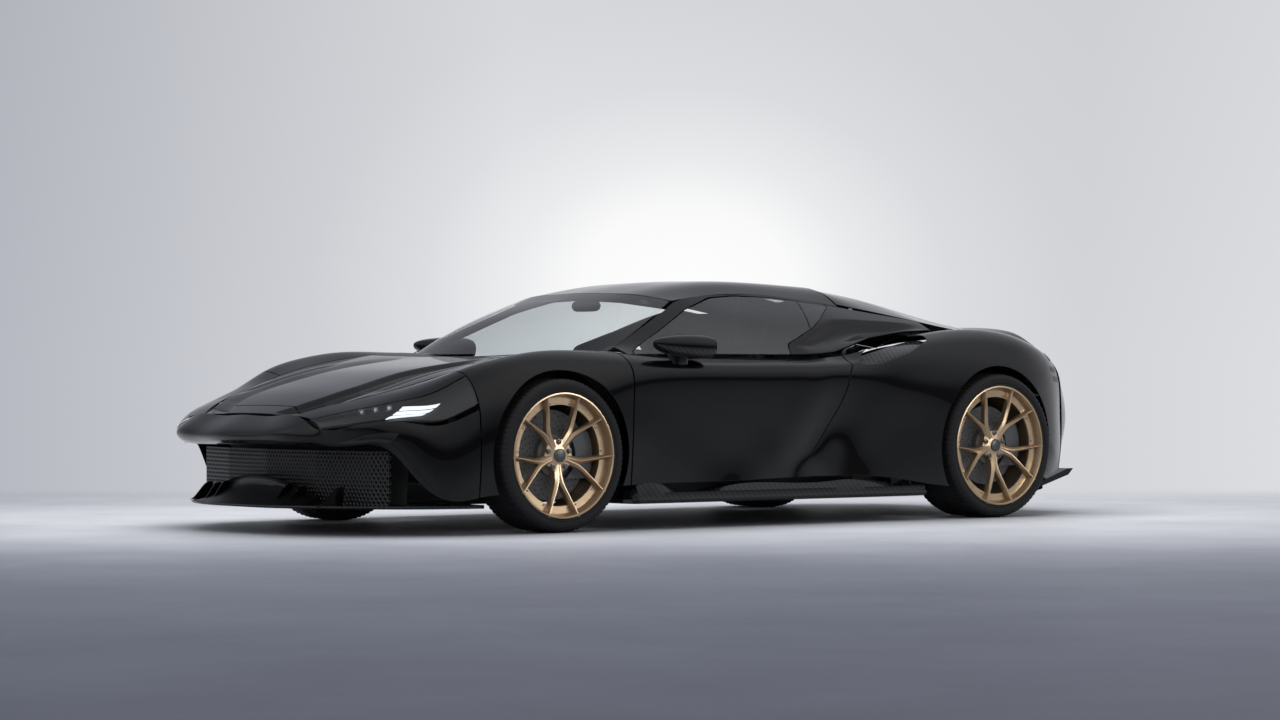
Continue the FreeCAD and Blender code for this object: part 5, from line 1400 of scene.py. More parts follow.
def rim_parts(lip, width):
    face = width / 2 - .007
    parts = Parts()
    ring = lip - .036
    profile = [(lip - .012, -face), (lip, -face), (lip, -face + .012), (lip - .014, -face + .022), (lip - .014, face - .024),
               (lip - .001, face - .012), (lip, face - .002), (lip - .0015, face), (lip - .0065, face + .0008), (lip - .0095, face - .001),
               (lip - .0125, face - .007), (lip - .021, face - .030), (lip - .0225, face - .036), (ring - .018, face - .038),
               (ring - .020, face - .044), (ring - .014, face - .060), (ring - .002, -face + .03), (lip - .020, -face + .012), (lip - .012, -face)]
    parts.turn(profile, 160)
    for spoke in range(SPOKE_COUNT):
        for side in (-1, 1):
            arm = Parts()
            spoke_arm(arm, lip, face, side)
            parts.add(turned_about_y(arm.vertices, 2 * math.pi * spoke / SPOKE_COUNT), arm.faces)
    hub = face - HUB_SET
    star, inner = [], []
    steps = 120
    for step in range(steps):
        angle = 2 * math.pi * step / steps
        swell = .5 + .5 * math.cos(SPOKE_COUNT * (angle + math.pi / 2))
        radius = .071 + .009 * swell
        star.append((radius * math.cos(angle), 0, radius * math.sin(angle)))
    star = np.array(star)
    rings = [star * .98 + (0, hub - .040, 0), star + (0, hub - .008, 0), star * .96 + (0, hub - .004, 0),
             star * .60 + (0, hub - .002, 0), star * .44 + (0, hub + .003, 0), star * .05 + (0, hub + .003, 0)]
    parts.loft(rings, closed=True, sharp=False, caps=False)
    return parts, hub, ring


# %% Tyre
def tyre_parts(radius, lip, width, grooves=84):
    """A tyre ring with a tread: grooves round the middle and short slots over the shoulders."""
    half = width / 2
    wall = radius - lip
    seat = lip - .008
    outline = [(seat, half - .020), (lip + .001, half - .0135), (lip + .004, half - .0085), (lip + .009, half - .0065),
               (lip + .012, half - .0080), (lip + .016, half - .0030), (lip + wall * .45, half - .0005), (lip + wall * .62, half - .0020),
               (lip + wall * .78, half - .0080), (lip + wall * .90, half - .0170), (lip + wall * .97, half - .0280)]
    tread = []
    flat = half - .034
    groove_places = [-.50, -.17, .17, .50]
    edges = [1.0]
    for place in reversed(groove_places):
        edges += [place + .035, place + .025, place - .025, place - .035]
    edges += [-1.0]
    for place, share in enumerate(edges):
        down = .006 if place % 4 in (2, 3) and 0 < place < len(edges) - 1 else 0.0
        crown = .0025 * share ** 2
        tread.append((radius - crown - down - (.0004 if abs(share) == 1 else 0), flat * share))
    profile = outline + tread + [(r, -p) for r, p in reversed(outline)]
    profile.append((seat, 0))
    steps = grooves * 4
    parts = Parts()
    profile = np.array(profile)
    first_shoulder, last_shoulder = 8, len(outline) + 1
    count = len(profile)
    rings = []
    for step in range(steps + 1):
        angle = 2 * math.pi * step / steps
        cut = step % 4 in (0, 1)
        points = []
        for place, (r, y) in enumerate(profile):
            shoulder = first_shoulder <= place <= last_shoulder or count - 2 - last_shoulder <= place <= count - 2 - first_shoulder
            depth = .0035 if cut and shoulder else 0.0
            points.append(((r - depth) * math.cos(angle), y, (r - depth) * math.sin(angle)))
        rings.append(points)
    parts.loft(rings, closed=True, sharp=False, caps=False)
    return parts


# %% Wheels at their axles
FRONT_PLACE = np.array([1.1949, .967 - .255 / 2, .3380])
REAR_PLACE = np.array([-1.4549, .983 - .315 / 2, .3480])
WHEELS = [("front", FRONT_PLACE, .3380, .277, .255, .199, "wheel_front_%s"),
          ("rear", REAR_PLACE, .3480, .289, .315, .190, "wheel_rear_%s")]


for axle, place, radius, lip, width, disc, body in WHEELS:
    for side_name, sign in SIDES:
        mirror = sign < 0
        body_name = body % side_name
        rim, hub, ring = rim_parts(lip, width)
        rim.moved(place)
        wheel = rim.object("forged_rim_%s_%s" % (axle, side_name), [BRONZE], body_name, ["rim_%s_%s" % (axle, side_name)], mirror)
        shade_by_angle(wheel, 28)
        tyre = tyre_parts(radius, lip, width).moved(place)
        shade_by_angle(tyre.object("tyre_%s_%s_tread" % (axle, side_name), [TYRE_RUBBER], body_name,
                                   ["tyre_%s_%s" % (axle, side_name)], mirror), 34)
        bolts = Parts()
        for step in range(SPOKE_COUNT):
            angle = math.pi / 2 + 2 * math.pi * step / SPOKE_COUNT
            centre = place + np.array([BOLT_CIRCLE * math.cos(angle), hub - .008, BOLT_CIRCLE * math.sin(angle)])
            bolt = Parts()
            bolt.turn([(.0125, .0), (.0125, .0095), (.0105, .0100), (.0100, .0045), (.0085, .0045), (.0085, .0135),
                       (.0070, .0150), (.0042, .0150), (.0042, .0100), (0, .0100)], 24)
            bolts.add(bolt.moved(centre).vertices, bolt.faces)
        shade_by_angle(bolts.object("lug_bolts_%s_%s" % (axle, side_name), [STEEL_DARK], body_name, (), mirror))
        cap = Parts()
        cap.turn([(.0300, .0), (.0300, .0080), (.0285, .0095), (.0270, .0095), (.0262, .0080), (.0250, .0080), (.0200, .0098),
                  (.0100, .0108), (0, .0110)], 48)
        cap.moved(place + (0, hub, 0))
        shade_by_angle(cap.object("centre_cap_%s_%s" % (axle, side_name), [CALIPER_GREY], body_name, (), mirror))
        studs = Parts()
        face = width / 2 - .007
        for step in range(40):
            angle = 2 * math.pi * (step + .5) / 40
            if abs((math.degrees(angle) + 90) % 36 - 18) > 13:
                continue
            stud = disc_faces((0, 0, 0), .0036, .004, dome=.001, steps=10)
            centre = place + np.array([(ring - .009) * math.cos(angle), face - .0375, (ring - .009) * math.sin(angle)])
            studs.add(stud.moved(centre).vertices, stud.faces)
        shade_by_angle(studs.object("rim_studs_%s_%s" % (axle, side_name), [STEEL_DARK], body_name, (), mirror))
        # Painted shade: each drilled hole is a flat black disc on the brake disc's face, its black standing for the
        # shade inside the hole.
        painted_hole_shade = Parts()
        disc_face = place[1] + hub - .030 - .034 * .9 + .0004
        for row in range(44):
            for step in range(3):
                angle = 2 * math.pi * (row + step * .33) / 44
                reach = .118 + step * .028 + (row % 2) * .012
                if reach > disc - .008:
                    continue
                centre = np.array([place[0] + reach * math.cos(angle), disc_face, place[2] + reach * math.sin(angle)])
                painted_hole_shade.add(np.array([(.0034 * math.cos(a), 0, .0034 * math.sin(a)) for a in np.linspace(0, 2 * math.pi, 9)[:-1]]) + centre,
                          [tuple(range(8))[::-1]])
        painted_hole_shade.object("disc_drillings_%s_%s" % (axle, side_name), [BLACK_PLASTIC], body_name, (), mirror)
print("rim:", triangle_count["forged_rim_front_left"], "tyre:", triangle_count["tyre_front_left_tread"], "triangles")

# %% [markdown]
# ## Mirrors, skirts and intakes
# The mirror head is a smooth egg cut by a flat glass, gloss above and bare carbon below, on a thin blade of a stalk.
# It is drawn as half rings, so that its two halves meet in a crisp line.

# %% Door mirrors
MIRROR_RINGS = np.array([(.150, .918, .715, .078, .043), (.165, .916, .716, .083, .048), (.200, .917, .719, .079, .047),
                         (.240, .918, .723, .063, .038), (.265, .921, .727, .043, .026), (.278, .925, .730, .021, .013),
                         (.2815, .926, .731, .003, .002)])


def mirror_half(turns):
    """Half of the mirror head, between two angles round it."""
    rings = []
    for share in np.linspace(0, 1, 26):
        place = spline(np.arange(len(MIRROR_RINGS)), MIRROR_RINGS, np.array([share * (len(MIRROR_RINGS) - 1)]))[0]
        ring = []
        for turn in turns:
            wide = math.copysign(abs(math.cos(turn)) ** .8, math.cos(turn)) * place[3]
            tall = math.copysign(abs(math.sin(turn)) ** .8, math.sin(turn)) * place[4]
            ring.append(at(place[0], place[1] + wide, place[2] + tall))
        rings.append(ring)
    parts = Parts()
    parts.loft(rings, closed=False, sharp=False, caps=False)
    return parts


for side_name, sign in SIDES:
    body = "door_%s_body" % side_name
    cap = mirror_half(np.linspace(-.12, math.pi + .12, 30))
    shade_by_angle(cap.object("mirror_cap_" + side_name, [LACQUER], body, ["door_mirror_" + side_name], sign < 0))
    shade_by_angle(mirror_half(np.linspace(math.pi + .12, 2 * math.pi - .12, 30)).object("mirror_shell_" + side_name, [CARBON], body, (), sign < 0))
    glass = Parts()
    face = mirror_half(np.linspace(0, 2 * math.pi, 41)[:-1]).vertices[:40]
    middle = np.mean(face, axis=0)
    rings = [np.array(face), middle + (np.array(face) - middle) * .95 + (.012, 0, 0), middle + (np.array(face) - middle) * .92 + (.012, 0, 0)]
    glass.loft(rings, closed=True, sharp=True, caps=False)
    shade_by_angle(glass.object("mirror_surround_" + side_name, [BLACK_PLASTIC], body, (), sign < 0))
    pane = Parts()
    pane.add(middle + (np.array(face) - middle) * .93 + (.0105, 0, 0), [tuple(range(40))[::-1]])
    pane.object("mirror_glass_" + side_name, [MIRROR_GLASS], body, (), sign < 0)
    stalk = Parts()
    rings = []
    for height, front, back, y, half in ((.796, .600, .440, .915, .0125), (.775, .580, .452, .916, .0120), (.752, .560, .462, .918, .0110),
                                         (.730, .542, .462, .921, .0100), (.710, .526, .456, .926, .0090), (.690, .512, .450, .934, .0080),
                                         (.674, .498, .450, .944, .0060)):
        ring = [((front + back) / 2 + (front - back) / 2 * math.cos(t), y + half * math.sin(t), height) for t in np.linspace(0, 2 * math.pi, 25)[:-1]]
        rings.append(ring)
    stalk.loft(rings, closed=True, sharp=False, caps=True)
    rings = []
    for share in np.linspace(0, 1, 9):
        x, z = .470 - .085 * share, .772 + .028 * share ** .6
        rings.append([(x, .917 + .009 * math.sin(t), z + (.012 - .004 * share) * math.cos(t)) for t in np.linspace(0, 2 * math.pi, 17)[:-1]])
    stalk.loft(rings, closed=True, sharp=False, caps=True)
    shade_by_angle(stalk.object("mirror_stalk_" + side_name, [LACQUER], body, (), sign < 0))

# %% Carbon skirts
SKIRT_STATIONS = np.array([.7855, .770, .60, .20, -.20, -.40, -.50, -.60, -.72, -.88, -1.000, -1.012])
SKIRT_TOPS = np.array([.170, .1905, .191, .191, .191, .196, .202, .198, .188, .176, .160, .140])
SKIRT_OUTS = np.array([.925, .9530, .9550, .9550, .9550, .9555, .9560, .9555, .9550, .9545, .945, .930])
for side_name, sign in SIDES:
    skirt = Parts()
    rings = []
    for x in np.linspace(.7855, -1.012, 90):
        top = spline(-SKIRT_STATIONS, SKIRT_TOPS, np.array([-x]))[0]
        out = np.interp(-x, -SKIRT_STATIONS, SKIRT_OUTS)
        profile = [(.856, .1155), (out - .022, .1155), (out - .006, .1210), (out, .1320), (out - .003, .1420), (out - .010, .1440),
                   (out - .011, .1470), (out - .012, .165), (out - .030, top), (.856, top)]
        rings.append([(x, y, z) for y, z in profile])
    skirt.loft(rings, closed=True, caps=True)
    shade_by_angle(skirt.object("side_skirt_" + side_name, [CARBON], "root", ["side_skirts"], sign < 0), 25)

# %% [markdown]
# ### Intakes in the haunches
# Behind each door the haunch opens into an intake. Its liner is a sheet of bare carbon set in below the skin.

# %% Intake liners
liner_outline = grown(intake_outline, .016)
side_panel("intake_liner", Sunk(SIDE, .030), spans(ALL_LEVELS, [rear - GAP_SHARE for rear in DOOR_REARS], QUARTER_REARS), (120, 60), CARBON,
           "root", [], [lambda points: inside(liner_outline, slanted_view(points))], thick(.002))
print("skirts:", triangle_count["side_skirt_left"], "mirror cap:", triangle_count["mirror_cap_left"])

# %% [markdown]
# ### Aerial and slots
# A small aerial fin stands on the rear edge of the roof, and two slots with an oval above them are drawn on each
# tail corner as flat black patches just proud of the skin: their black is painted shade for the dark inside a slot.

# %% Aerial fin and tail corner slots
aerial = Parts()
rings = []
for share in np.linspace(0, 1, 12):
    tall = .0128 * math.sin(math.pi * min(share * .58 + .01, 1)) ** .9
    half = .0055 * math.sin(math.pi * (share * .96 + .02)) ** .5
    x = -.625 - .105 * share
    base = 1.1335 - .022 * share ** 2
    rings.append([(x, -half, base - .004), (x, -half * .8, base + tall * .6), (x, -half * .25, min(base + tall, 1.1432)),
                  (x, half * .25, min(base + tall, 1.1432)), (x, half * .8, base + tall * .6), (x, half, base - .004)])
aerial.loft(rings, closed=True, sharp=False)
shade_by_angle(aerial.object("aerial_fin", [SATIN_BLACK], "root"), 40)


def pill(centre, tall, long, lean, steps=10):
    """The outline of a slot with round ends, in side view."""
    turn = np.linspace(-math.pi / 2, math.pi / 2, steps)
    right = np.stack([long / 2 + tall / 2 * np.cos(turn), tall / 2 * np.sin(turn)], axis=1)
    outline = np.concatenate([right, -right])
    c, s = math.cos(lean), math.sin(lean)
    return outline @ np.array([(c, s), (-s, c)]) + centre


# Painted shade: each slot is a flat satin black patch just proud of the tail corner, its black standing for the shade
# inside the slot.
for number, (centre, tall, long) in enumerate([((-1.965, .716), .026, .050), ((-1.975, .668), .026, .050), ((-1.990, .778), .040, .020)]):
    side_panel("tail_slot_%d" % (number + 1), Sunk(SIDE, -.0012),
               spans(ALL_LEVELS, [-.80] * 8, [rear + .001 for rear in QUARTER_REARS]), (60, 200), SATIN_BLACK, "root", [],
               [lambda points, c=centre, t=tall, l=long: inside(pill(c, t, l, .10), side_view(points))], thick(.003), .0005)
print("tail slots:", [triangle_count.get("tail_slot_%d_left" % number) for number in (1, 2, 3)])

# %% [markdown]
# ## Cabin
# Through the glass the tops of the seats, the dashboard, the steering wheel and the mirror show. A seat cushion is
# foam under stretched leather: it bulges between its seams. Here a coarse cushion is drawn as rings and rounded by
# subdivision.

# %% Seats
SEAT_MIDDLE = .360


def cushion(name, rings, body, materials, mirror=False, nodes=()):
    """A soft piece from a few rings, rounded by two levels of subdivision."""
    parts = Parts()
    parts.loft(rings, closed=True, sharp=False, caps=True)
    thing = parts.object(name, materials, body, nodes, mirror)
    rounding = thing.modifiers.new("rounding", "SUBSURF")
    rounding.levels = rounding.render_levels = 2
    return thing


def back_ring(place, lean, low_out, wide, thick_front, thick_side):
    """One level of a bucket backrest: side bolsters stand forward of the middle."""
    x, z = place
    outline = [(-wide, thick_side), (-wide * .96, thick_side + .030), (-wide * .78, thick_front + .034), (-wide * .42, thick_front),
               (0, thick_front + .004), (wide * .42, thick_front), (wide * .78, thick_front + .034), (wide * .96, thick_side + .030),
               (wide, thick_side), (wide * .92, -.030), (wide * .4, -.042), (-wide * .4, -.042), (-wide * .92, -.030)]
    return [(x + forward * math.cos(lean), SEAT_MIDDLE + across, z + forward * math.sin(lean) + low_out) for across, forward in outline]


BACK_LEVELS = [((-.190, .285), .200), ((-.225, .40), .215), ((-.265, .52), .222), ((-.305, .64), .215), ((-.345, .74), .185), ((-.375, .80), .130)]
for side_name, sign in SIDES:
    rings = [back_ring(place, .33, 0, wide, .035, .045 if wide > .2 else .030) for place, wide in BACK_LEVELS]
    cushion("seat_back_" + side_name, rings, "root", [SOFT_TRIM], mirror=sign < 0, nodes=["seats"] if sign > 0 else ())
    rings = []
    for x, z, wide, tall in ((.292, .300, .175, .030), (.270, .318, .198, .050), (.16, .306, .210, .055), (.02, .278, .215, .060), (-.12, .255, .210, .065),
                             (-.20, .260, .185, .050)):
        rings.append([(x, SEAT_MIDDLE + y * wide, z + h) for y, h in ((-1, 0), (-.97, tall * .55), (-.72, tall * .62), (-.40, tall * .12), (0, tall * .16),
                                                                  (.40, tall * .12), (.72, tall * .62), (.97, tall * .55), (1, 0), (.8, -.09), (-.8, -.09))])
    cushion("seat_cushion_" + side_name, rings, "root", [SOFT_TRIM], mirror=sign < 0)
    rings = []
    for x, z, wide, thick_head in ((-.372, .795, .060, .020), (-.380, .820, .105, .036), (-.395, .865, .118, .044), (-.412, .910, .110, .040), (-.425, .935, .080, .022)):
        rings.append([(x + forward, SEAT_MIDDLE + across * wide, z + forward * .34) for across, forward in
                      ((-1, 0), (-.86, thick_head * .8), (-.4, thick_head), (0, thick_head), (.4, thick_head), (.86, thick_head * .8), (1, 0),
                       (.8, -thick_head * .9), (0, -thick_head * 1.1), (-.8, -thick_head * .9))])
    cushion("headrest_" + side_name, rings, "root", [SOFT_TRIM], mirror=sign < 0)
    shellback = Parts()
    rings = [[(x - .046 - .010 * math.cos(t), SEAT_MIDDLE + wide * .97 * math.sin(t), z - .015) for t in np.linspace(-1.4, 1.4, 15)] for (x, z), wide in BACK_LEVELS]
    shellback.loft(rings, closed=False, sharp=False, caps=False)
    seat_shell = shellback.object("seat_shell_" + side_name, [CARBON], "root", (), sign < 0)
    backing = seat_shell.modifiers.new("backing", "SOLIDIFY")
    backing.thickness = .004
    base = Parts()
    rings = [[(x, SEAT_MIDDLE + y, z) for y, z in ((-.16, .1375), (-.15, .235), (.15, .235), (.16, .1375))] for x in (-.20, -.18, .22, .24)]
    base.loft(rings, closed=True)
    shade_by_angle(base.object("seat_base_" + side_name, [BLACK_PLASTIC], "root", (), sign < 0))

# %% Dashboard and console
DASH_RINGS = 60
dash = Parts()
rings = []
for share in np.linspace(-1, 1, DASH_RINGS):
    y = share * .6195
    hood = math.exp(-((y - .36) / .15) ** 2)
    end = 1 - abs(share) ** 8 * .25
    top = .7385 - .012 * abs(share) ** 2
    profile = [(.905, .5025), (.905, top), (.80, top + .001), (.70, top), (.640, top - .002 + .022 * hood * 0), (.590 - .02 * hood, .722 + .010 * hood),
               (.560, .706), (.548, .690), (.570, .665), (.575, .640), (.560, .615), (.575, .590), (.62, .560), (.70, .5025)]
    rings.append([(x if x > .62 else x + (1 - end) * .2, y, z) for x, z in profile])
dash.loft(rings, closed=True, sharp=False)
shade_by_angle(dash.object("dashboard_skin", [SOFT_TRIM], "root", ["dashboard"]), 40)
screen = Parts()
rings = [[(.5560 - .004 * abs(y - .36) / .12 + dx, y, z) for dx, z in ((0, .640), (0, .700), (.012, .700), (.012, .640))] for y in np.linspace(.24, .48, 17)]
screen.loft(rings, closed=True)
shade_by_angle(screen.object("instrument_screen", [SCREEN_GLASS], "root"))
console = Parts()
rings = []
for x, tall, half in ((.56, .54, .10), (.50, .52, .105), (.35, .42, .105), (.10, .385, .100), (-.15, .37, .095), (-.40, .37, .090), (-.60, .42, .085)):
    rings.append([(x, y * half, z) for y, z in ((-1, .138), (-1, tall - .03), (-.8, tall), (0, tall + .004), (.8, tall), (1, tall - .03), (1, .138))])
console.loft(rings, closed=True, sharp=False)
shade_by_angle(console.object("centre_console", [SOFT_TRIM], "root"), 50)
for number, y in enumerate((-.50, -.16, .16, .50)):
    vent = Parts()
    vent.turn([(.026, -.004), (.030, .0), (.030, .006), (.024, .008), (.022, .004), (.006, .005), (0, .006)], 32)
    vent.vertices = [(.556 - p[1], y + p[0], .672 + p[2]) for p in vent.vertices]
    shade_by_angle(vent.object("air_vent_%d" % (number + 1), [SATIN_BLACK], "root"))

# %% Steering wheel
STEER_CENTRE = np.array([.38858, .360, .6555])
STEER_FORWARD = np.array([.9404, 0, -.3402])
STEER_UP = np.array([.3402, 0, .9404])


def on_wheel(forward, across, up):
    return STEER_CENTRE + STEER_FORWARD * forward + np.array([0, 1, 0]) * across + STEER_UP * up


steer = Parts()
rings = []
for step in range(97):
    turn = 2 * math.pi * step / 96
    radius = .165
    across, up = radius * math.cos(turn), radius * math.sin(turn)
    if up < -.125:
        up = -.125 - (-.125 - up) * .25
    grip = .0135 + .002 * (math.exp(-((turn - .6) / .25) ** 2) + math.exp(-((turn - 2.54) / .25) ** 2))
    out = np.array([across, up]) / math.hypot(across, up)
    rings.append([on_wheel(grip * math.sin(a), across + out[0] * grip * math.cos(a), up + out[1] * grip * math.cos(a)) for a in np.linspace(0, 2 * math.pi, 15)[:-1]])
steer.loft(rings, closed=True, sharp=False, caps=False)
shade_by_angle(steer.object("steering_rim", [SOFT_TRIM], "steering_wheel_body", ["steering_wheel"]), 60)
boss = Parts()
rings = [[on_wheel(-.012 + back, across * size, up * size) for across, up in
          [(.055 * math.cos(a), .050 * math.sin(a) - .004) for a in np.linspace(0, 2 * math.pi, 33)[:-1]]] for back, size in
         ((.030, .8), (.020, 1.0), (.004, 1.0), (0, .93), (-.002, .5), (-.002, .02))]
boss.loft(rings, closed=True, sharp=False, caps=True)
for sign in (1, -1):
    rings = [[on_wheel(-.004 + .008 * math.sin(a), sign * across, up + half * math.cos(a)) for a in np.linspace(0, 2 * math.pi, 13)[:-1]]
             for across, up, half in ((.04, -.004, .030), (.09, .0, .020), (.13, .004, .018), (.160, .006, .024))]
    boss.loft(rings, closed=True, sharp=False, caps=True)
rings = [[on_wheel(-.004 + .007 * math.sin(a), half * math.cos(a), up) for a in np.linspace(0, 2 * math.pi, 13)[:-1]]
         for up, half in ((-.035, .030), (-.08, .022), (-.128, .030))]
boss.loft(rings, closed=True, sharp=False, caps=True)
rings = [[on_wheel(along, radius * math.cos(a), radius * math.sin(a)) for a in np.linspace(0, 2 * math.pi, 25)[:-1]] for along, radius in
         ((.010, .026), (.030, .024), (.034, .0195), (.104, .0195))]
boss.loft(rings, closed=True, sharp=True, caps=True)
shade_by_angle(boss.object("steering_boss", [CARBON], "steering_wheel_body"), 40)
cowl = Parts()
rings = [[on_wheel(along, radius * 1.25 * math.cos(a), radius * math.sin(a)) for a in np.linspace(0, 2 * math.pi, 25)[:-1]] for along, radius in
         ((.106, .026), (.108, .030), (.160, .036), (.200, .045))]
cowl.loft(rings, closed=True, sharp=False, caps=True)
shade_by_angle(cowl.object("steering_shroud", [BLACK_PLASTIC], "root"), 40)

# %% Mirror, headlining and door cards
glass = Parts()
rings = []
for share in np.linspace(-1, 1, 25):
    tall = .0255 * (1 - abs(share) ** 6) ** .5 + .0012
    rings.append([(.325 + .012 * math.cos(t) * (1 - abs(share) ** 8 * .7), share * .108, 1.0150 + tall * math.sin(t)) for t in np.linspace(0, 2 * math.pi, 17)[:-1]])
glass.loft(rings, closed=True, sharp=False)
rings = [[(x + .006 * math.cos(t), .007 * math.sin(t), z) for t in np.linspace(0, 2 * math.pi, 11)[:-1]] for x, z in ((.322, 1.02), (.316, 1.05), (.300, 1.070), (.290, 1.082))]
glass.loft(rings, closed=True, sharp=False)
shade_by_angle(glass.object("cabin_mirror", [SATIN_BLACK], "root", ["interior_mirror"]), 50)
lining = Sheet(Sunk(ROOF, .013), straight(-.05, -2.95, .35, 5.65), (30, 40))
add_panel("headlining", lining, thick(.003), SOFT_TRIM, "root", [])
for side_name, sign in SIDES:
    card = Parts()
    rings = []
    for x in np.linspace(.66, -.44, 45):
        rise = eased((x + .44) / .10) * eased((.66 - x) / .10)
        arm = eased((x + .30) / .12) * eased((.42 - x) / .15)
        low, high = .235 + .03 * (1 - rise), .735 - .05 * (1 - rise)
        profile = []
        for share in np.linspace(0, 1, 24):
            z = low + (high - low) * share
            depth = .0030 * min(1, share * 14, (1 - share) * 14) * min(1, rise * 3 + .1) + .0010 * arm * math.exp(-((z - .52) / .03) ** 2)
            profile.append((x, .8448 - depth, z))
        rings.append(profile)
    card.loft(rings, closed=False, sharp=False, caps=False)
    shade_by_angle(card.object("door_card_" + side_name, [SOFT_TRIM], "door_%s_body" % side_name, (), sign < 0), 40)
print("cabin pieces:", len([name for name in triangle_count if "seat" in name]), "of the seats")

# %% [markdown]
# ## Tail and underside
# The tail's middle holds two round tailpipes in a dark meshed field. A tailpipe is a thin tube with a rolled lip,
# dark with soot inside. Below it the diffuser is bare carbon with upright fins.

# %% Tailpipes and lamp rings
for side_name, sign in SIDES:
    pipe = Parts()
    pipe.turn([(.0400, .150), (.0560, .150), (.0575, .0), (.0605, -.003), (.0615, .002), (.0605, .010), (.0605, .188), (.0400, .188), (0, .186)], 96)
    pipe.vertices = [(-2.3075 + p[1], PIPE_PLACE + p[0], PIPE_HEIGHT + p[2]) for p in pipe.vertices]
    shade_by_angle(pipe.object("tailpipe_" + side_name, [STEEL_PIPE], "root", ["exhaust_tips"], sign < 0))
    soot = Parts()
    soot.turn([(.0555, .02), (.0545, .148), (0, .149)], 64)
    soot.vertices = [(-2.3075 + p[1], PIPE_PLACE + p[0], PIPE_HEIGHT + p[2]) for p in soot.vertices]
    shade_by_angle(soot.object("tailpipe_soot_" + side_name, [SOOT], "root", (), sign < 0))
    for place, centre in enumerate(LAMP_CENTRES):
        ring_sheet = Sheet(TAIL, straight(0, -8, 0, 5), (200, 80))
        ring_sheet.clip(lambda points, c=centre: inside(lamp_outline(c, -.012), rear_view(points)))
        ring_sheet.clip(lambda points, c=centre: -inside(lamp_outline(c, -.019), rear_view(points)))
        vertices, faces, normals = shell(ring_sheet, thick(.003), .001)
        ring = mesh_object("tail_light_ring_%s_%d" % (side_name, place + 1), vertices + normals * .0008, faces, normals, [TAIL_GLOW], sign < 0)
        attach(ring, "root")

# %% Rear mesh and diffuser fins
class TailSheet:
    """The tail's own surface as a flat place across and up, for the mesh let into its middle."""

    def __init__(self, low, high, half):
        self.low, self.high, self.half = low, high, half
        stations = np.linspace(0, -8, 161)
        levels = np.linspace(0, 5, 101)
        first, second = np.meshgrid(stations, levels, indexing="ij")
        points = TAIL.points(first.ravel(), second.ravel())
        self.points = points

    def counts(self, cell):
        return int((self.high - self.low) / (cell * math.sqrt(.75))), int(2 * self.half / cell)

    def place(self, flat, depth):
        flat = np.array(flat)
        y, z = flat[:, 0] - self.half, self.low + flat[:, 1]
        away = (self.points[None, :, 1] - y[:, None]) ** 2 + (self.points[None, :, 2] - z[:, None]) ** 2
        near = np.argpartition(away, 3, axis=1)[:, :3]
        weight = 1 / (np.take_along_axis(away, near, axis=1) + 1e-7)
        x = (self.points[near, 0] * weight).sum(axis=1) / weight.sum(axis=1)
        return np.stack([x - .0006 + depth, y, z], axis=1)


tail_field = TailSheet(.300, .470, .400)


def mesh_field(across, up):
    y, z = across - .400, up + .300
    return abs(y) < .385 and .312 < z < .462 and abs(y) + (z - .312) * .6 < .44


hexagon_mesh("tail_mesh", tail_field, .016, .0026, .003, SATIN_BLACK, "root", keep=mesh_field)
for number, place in enumerate((-.52, -.26, 0, .26, .52)):
    fin = Parts()
    rings = []
    for x, low, high in ((-1.956, .1250, .1350), (-2.02, .1100, .160), (-2.10, .1055, .185), (-2.16, .1040, .200), (-2.195, .110, .205)):
        rings.append([(x, place - .004, high), (x, place - .0040, low + .002), (x, place - .002, low), (x, place + .002, low), (x, place + .0040, low + .002), (x, place + .004, high)])
    fin.loft(rings, closed=True)
    shade_by_angle(fin.object("diffuser_fin_%d" % (number + 1), [CARBON], "root"))
print("tail mesh:", triangle_count["tail_mesh"], "triangles")

# %% [markdown]
# ### Finishes of the solids that stay
# The tub, bulkheads, floor, liners, uprights and wishbones keep their solids, and only get a finish.

# %% Finishes
def finish(material, *names):
    for name in names:
        solid = frame["nodes"][name]
        for holder in solid.material_slots:
            holder.material = material
        if not solid.material_slots:
            solid.data.materials.append(material)


finish(CARBON, "rear_diffuser")
finish(BLACK_PLASTIC, "floor_pan", "wheel_liners")
finish(TUB_COMPOSITE, "sill_beams", "front_bulkhead", "rear_bulkhead")
finish(CAST_ALLOY, "knuckle_front_left", "knuckle_front_right", "knuckle_rear_left", "knuckle_rear_right",
       "suspension_front", "suspension_rear", "engine_block")
print("finished solids:", len([name for name, solid in frame["nodes"].items() if not solid.hide_render]))

# %% [markdown]
# ## Floor, light and camera
# The studio has a pale floor and a white glow behind the car. The black lacquer reflects the world's wall and bright
# room, so their shapes draw the body. A large soft lamp overhead lights the car without showing in it, and two beside
# the car light only the wheels. The background's paleness is only for the camera and for mirrors, and puts no light on
# the car.

# %% Floor
FLOOR_HALF = 40.0
LOOK = (-0.6285, -0.7778, 0.0)
RIGHT_OF_LOOK = (-0.7778, 0.6285, 0.0)
CAMERA_DISTANCE = 17.01
# Painted light and shade: floor colours by distance from the camera, brightest round the car and darker towards the
# camera, in place of the lamps' fall-off.
FLOOR_PAINTED_LIGHT_AND_SHADE = [(6.0, "#6c7080"), (7.6, "#797d8e"), (10.1, "#868a9b"), (12.4, "#9195a2"), (13.6, "#a6a9b4"), (15.2, "#d0d2d8"), (17.0, "#d8dade"),
               (19.5, "#cccdd3")]


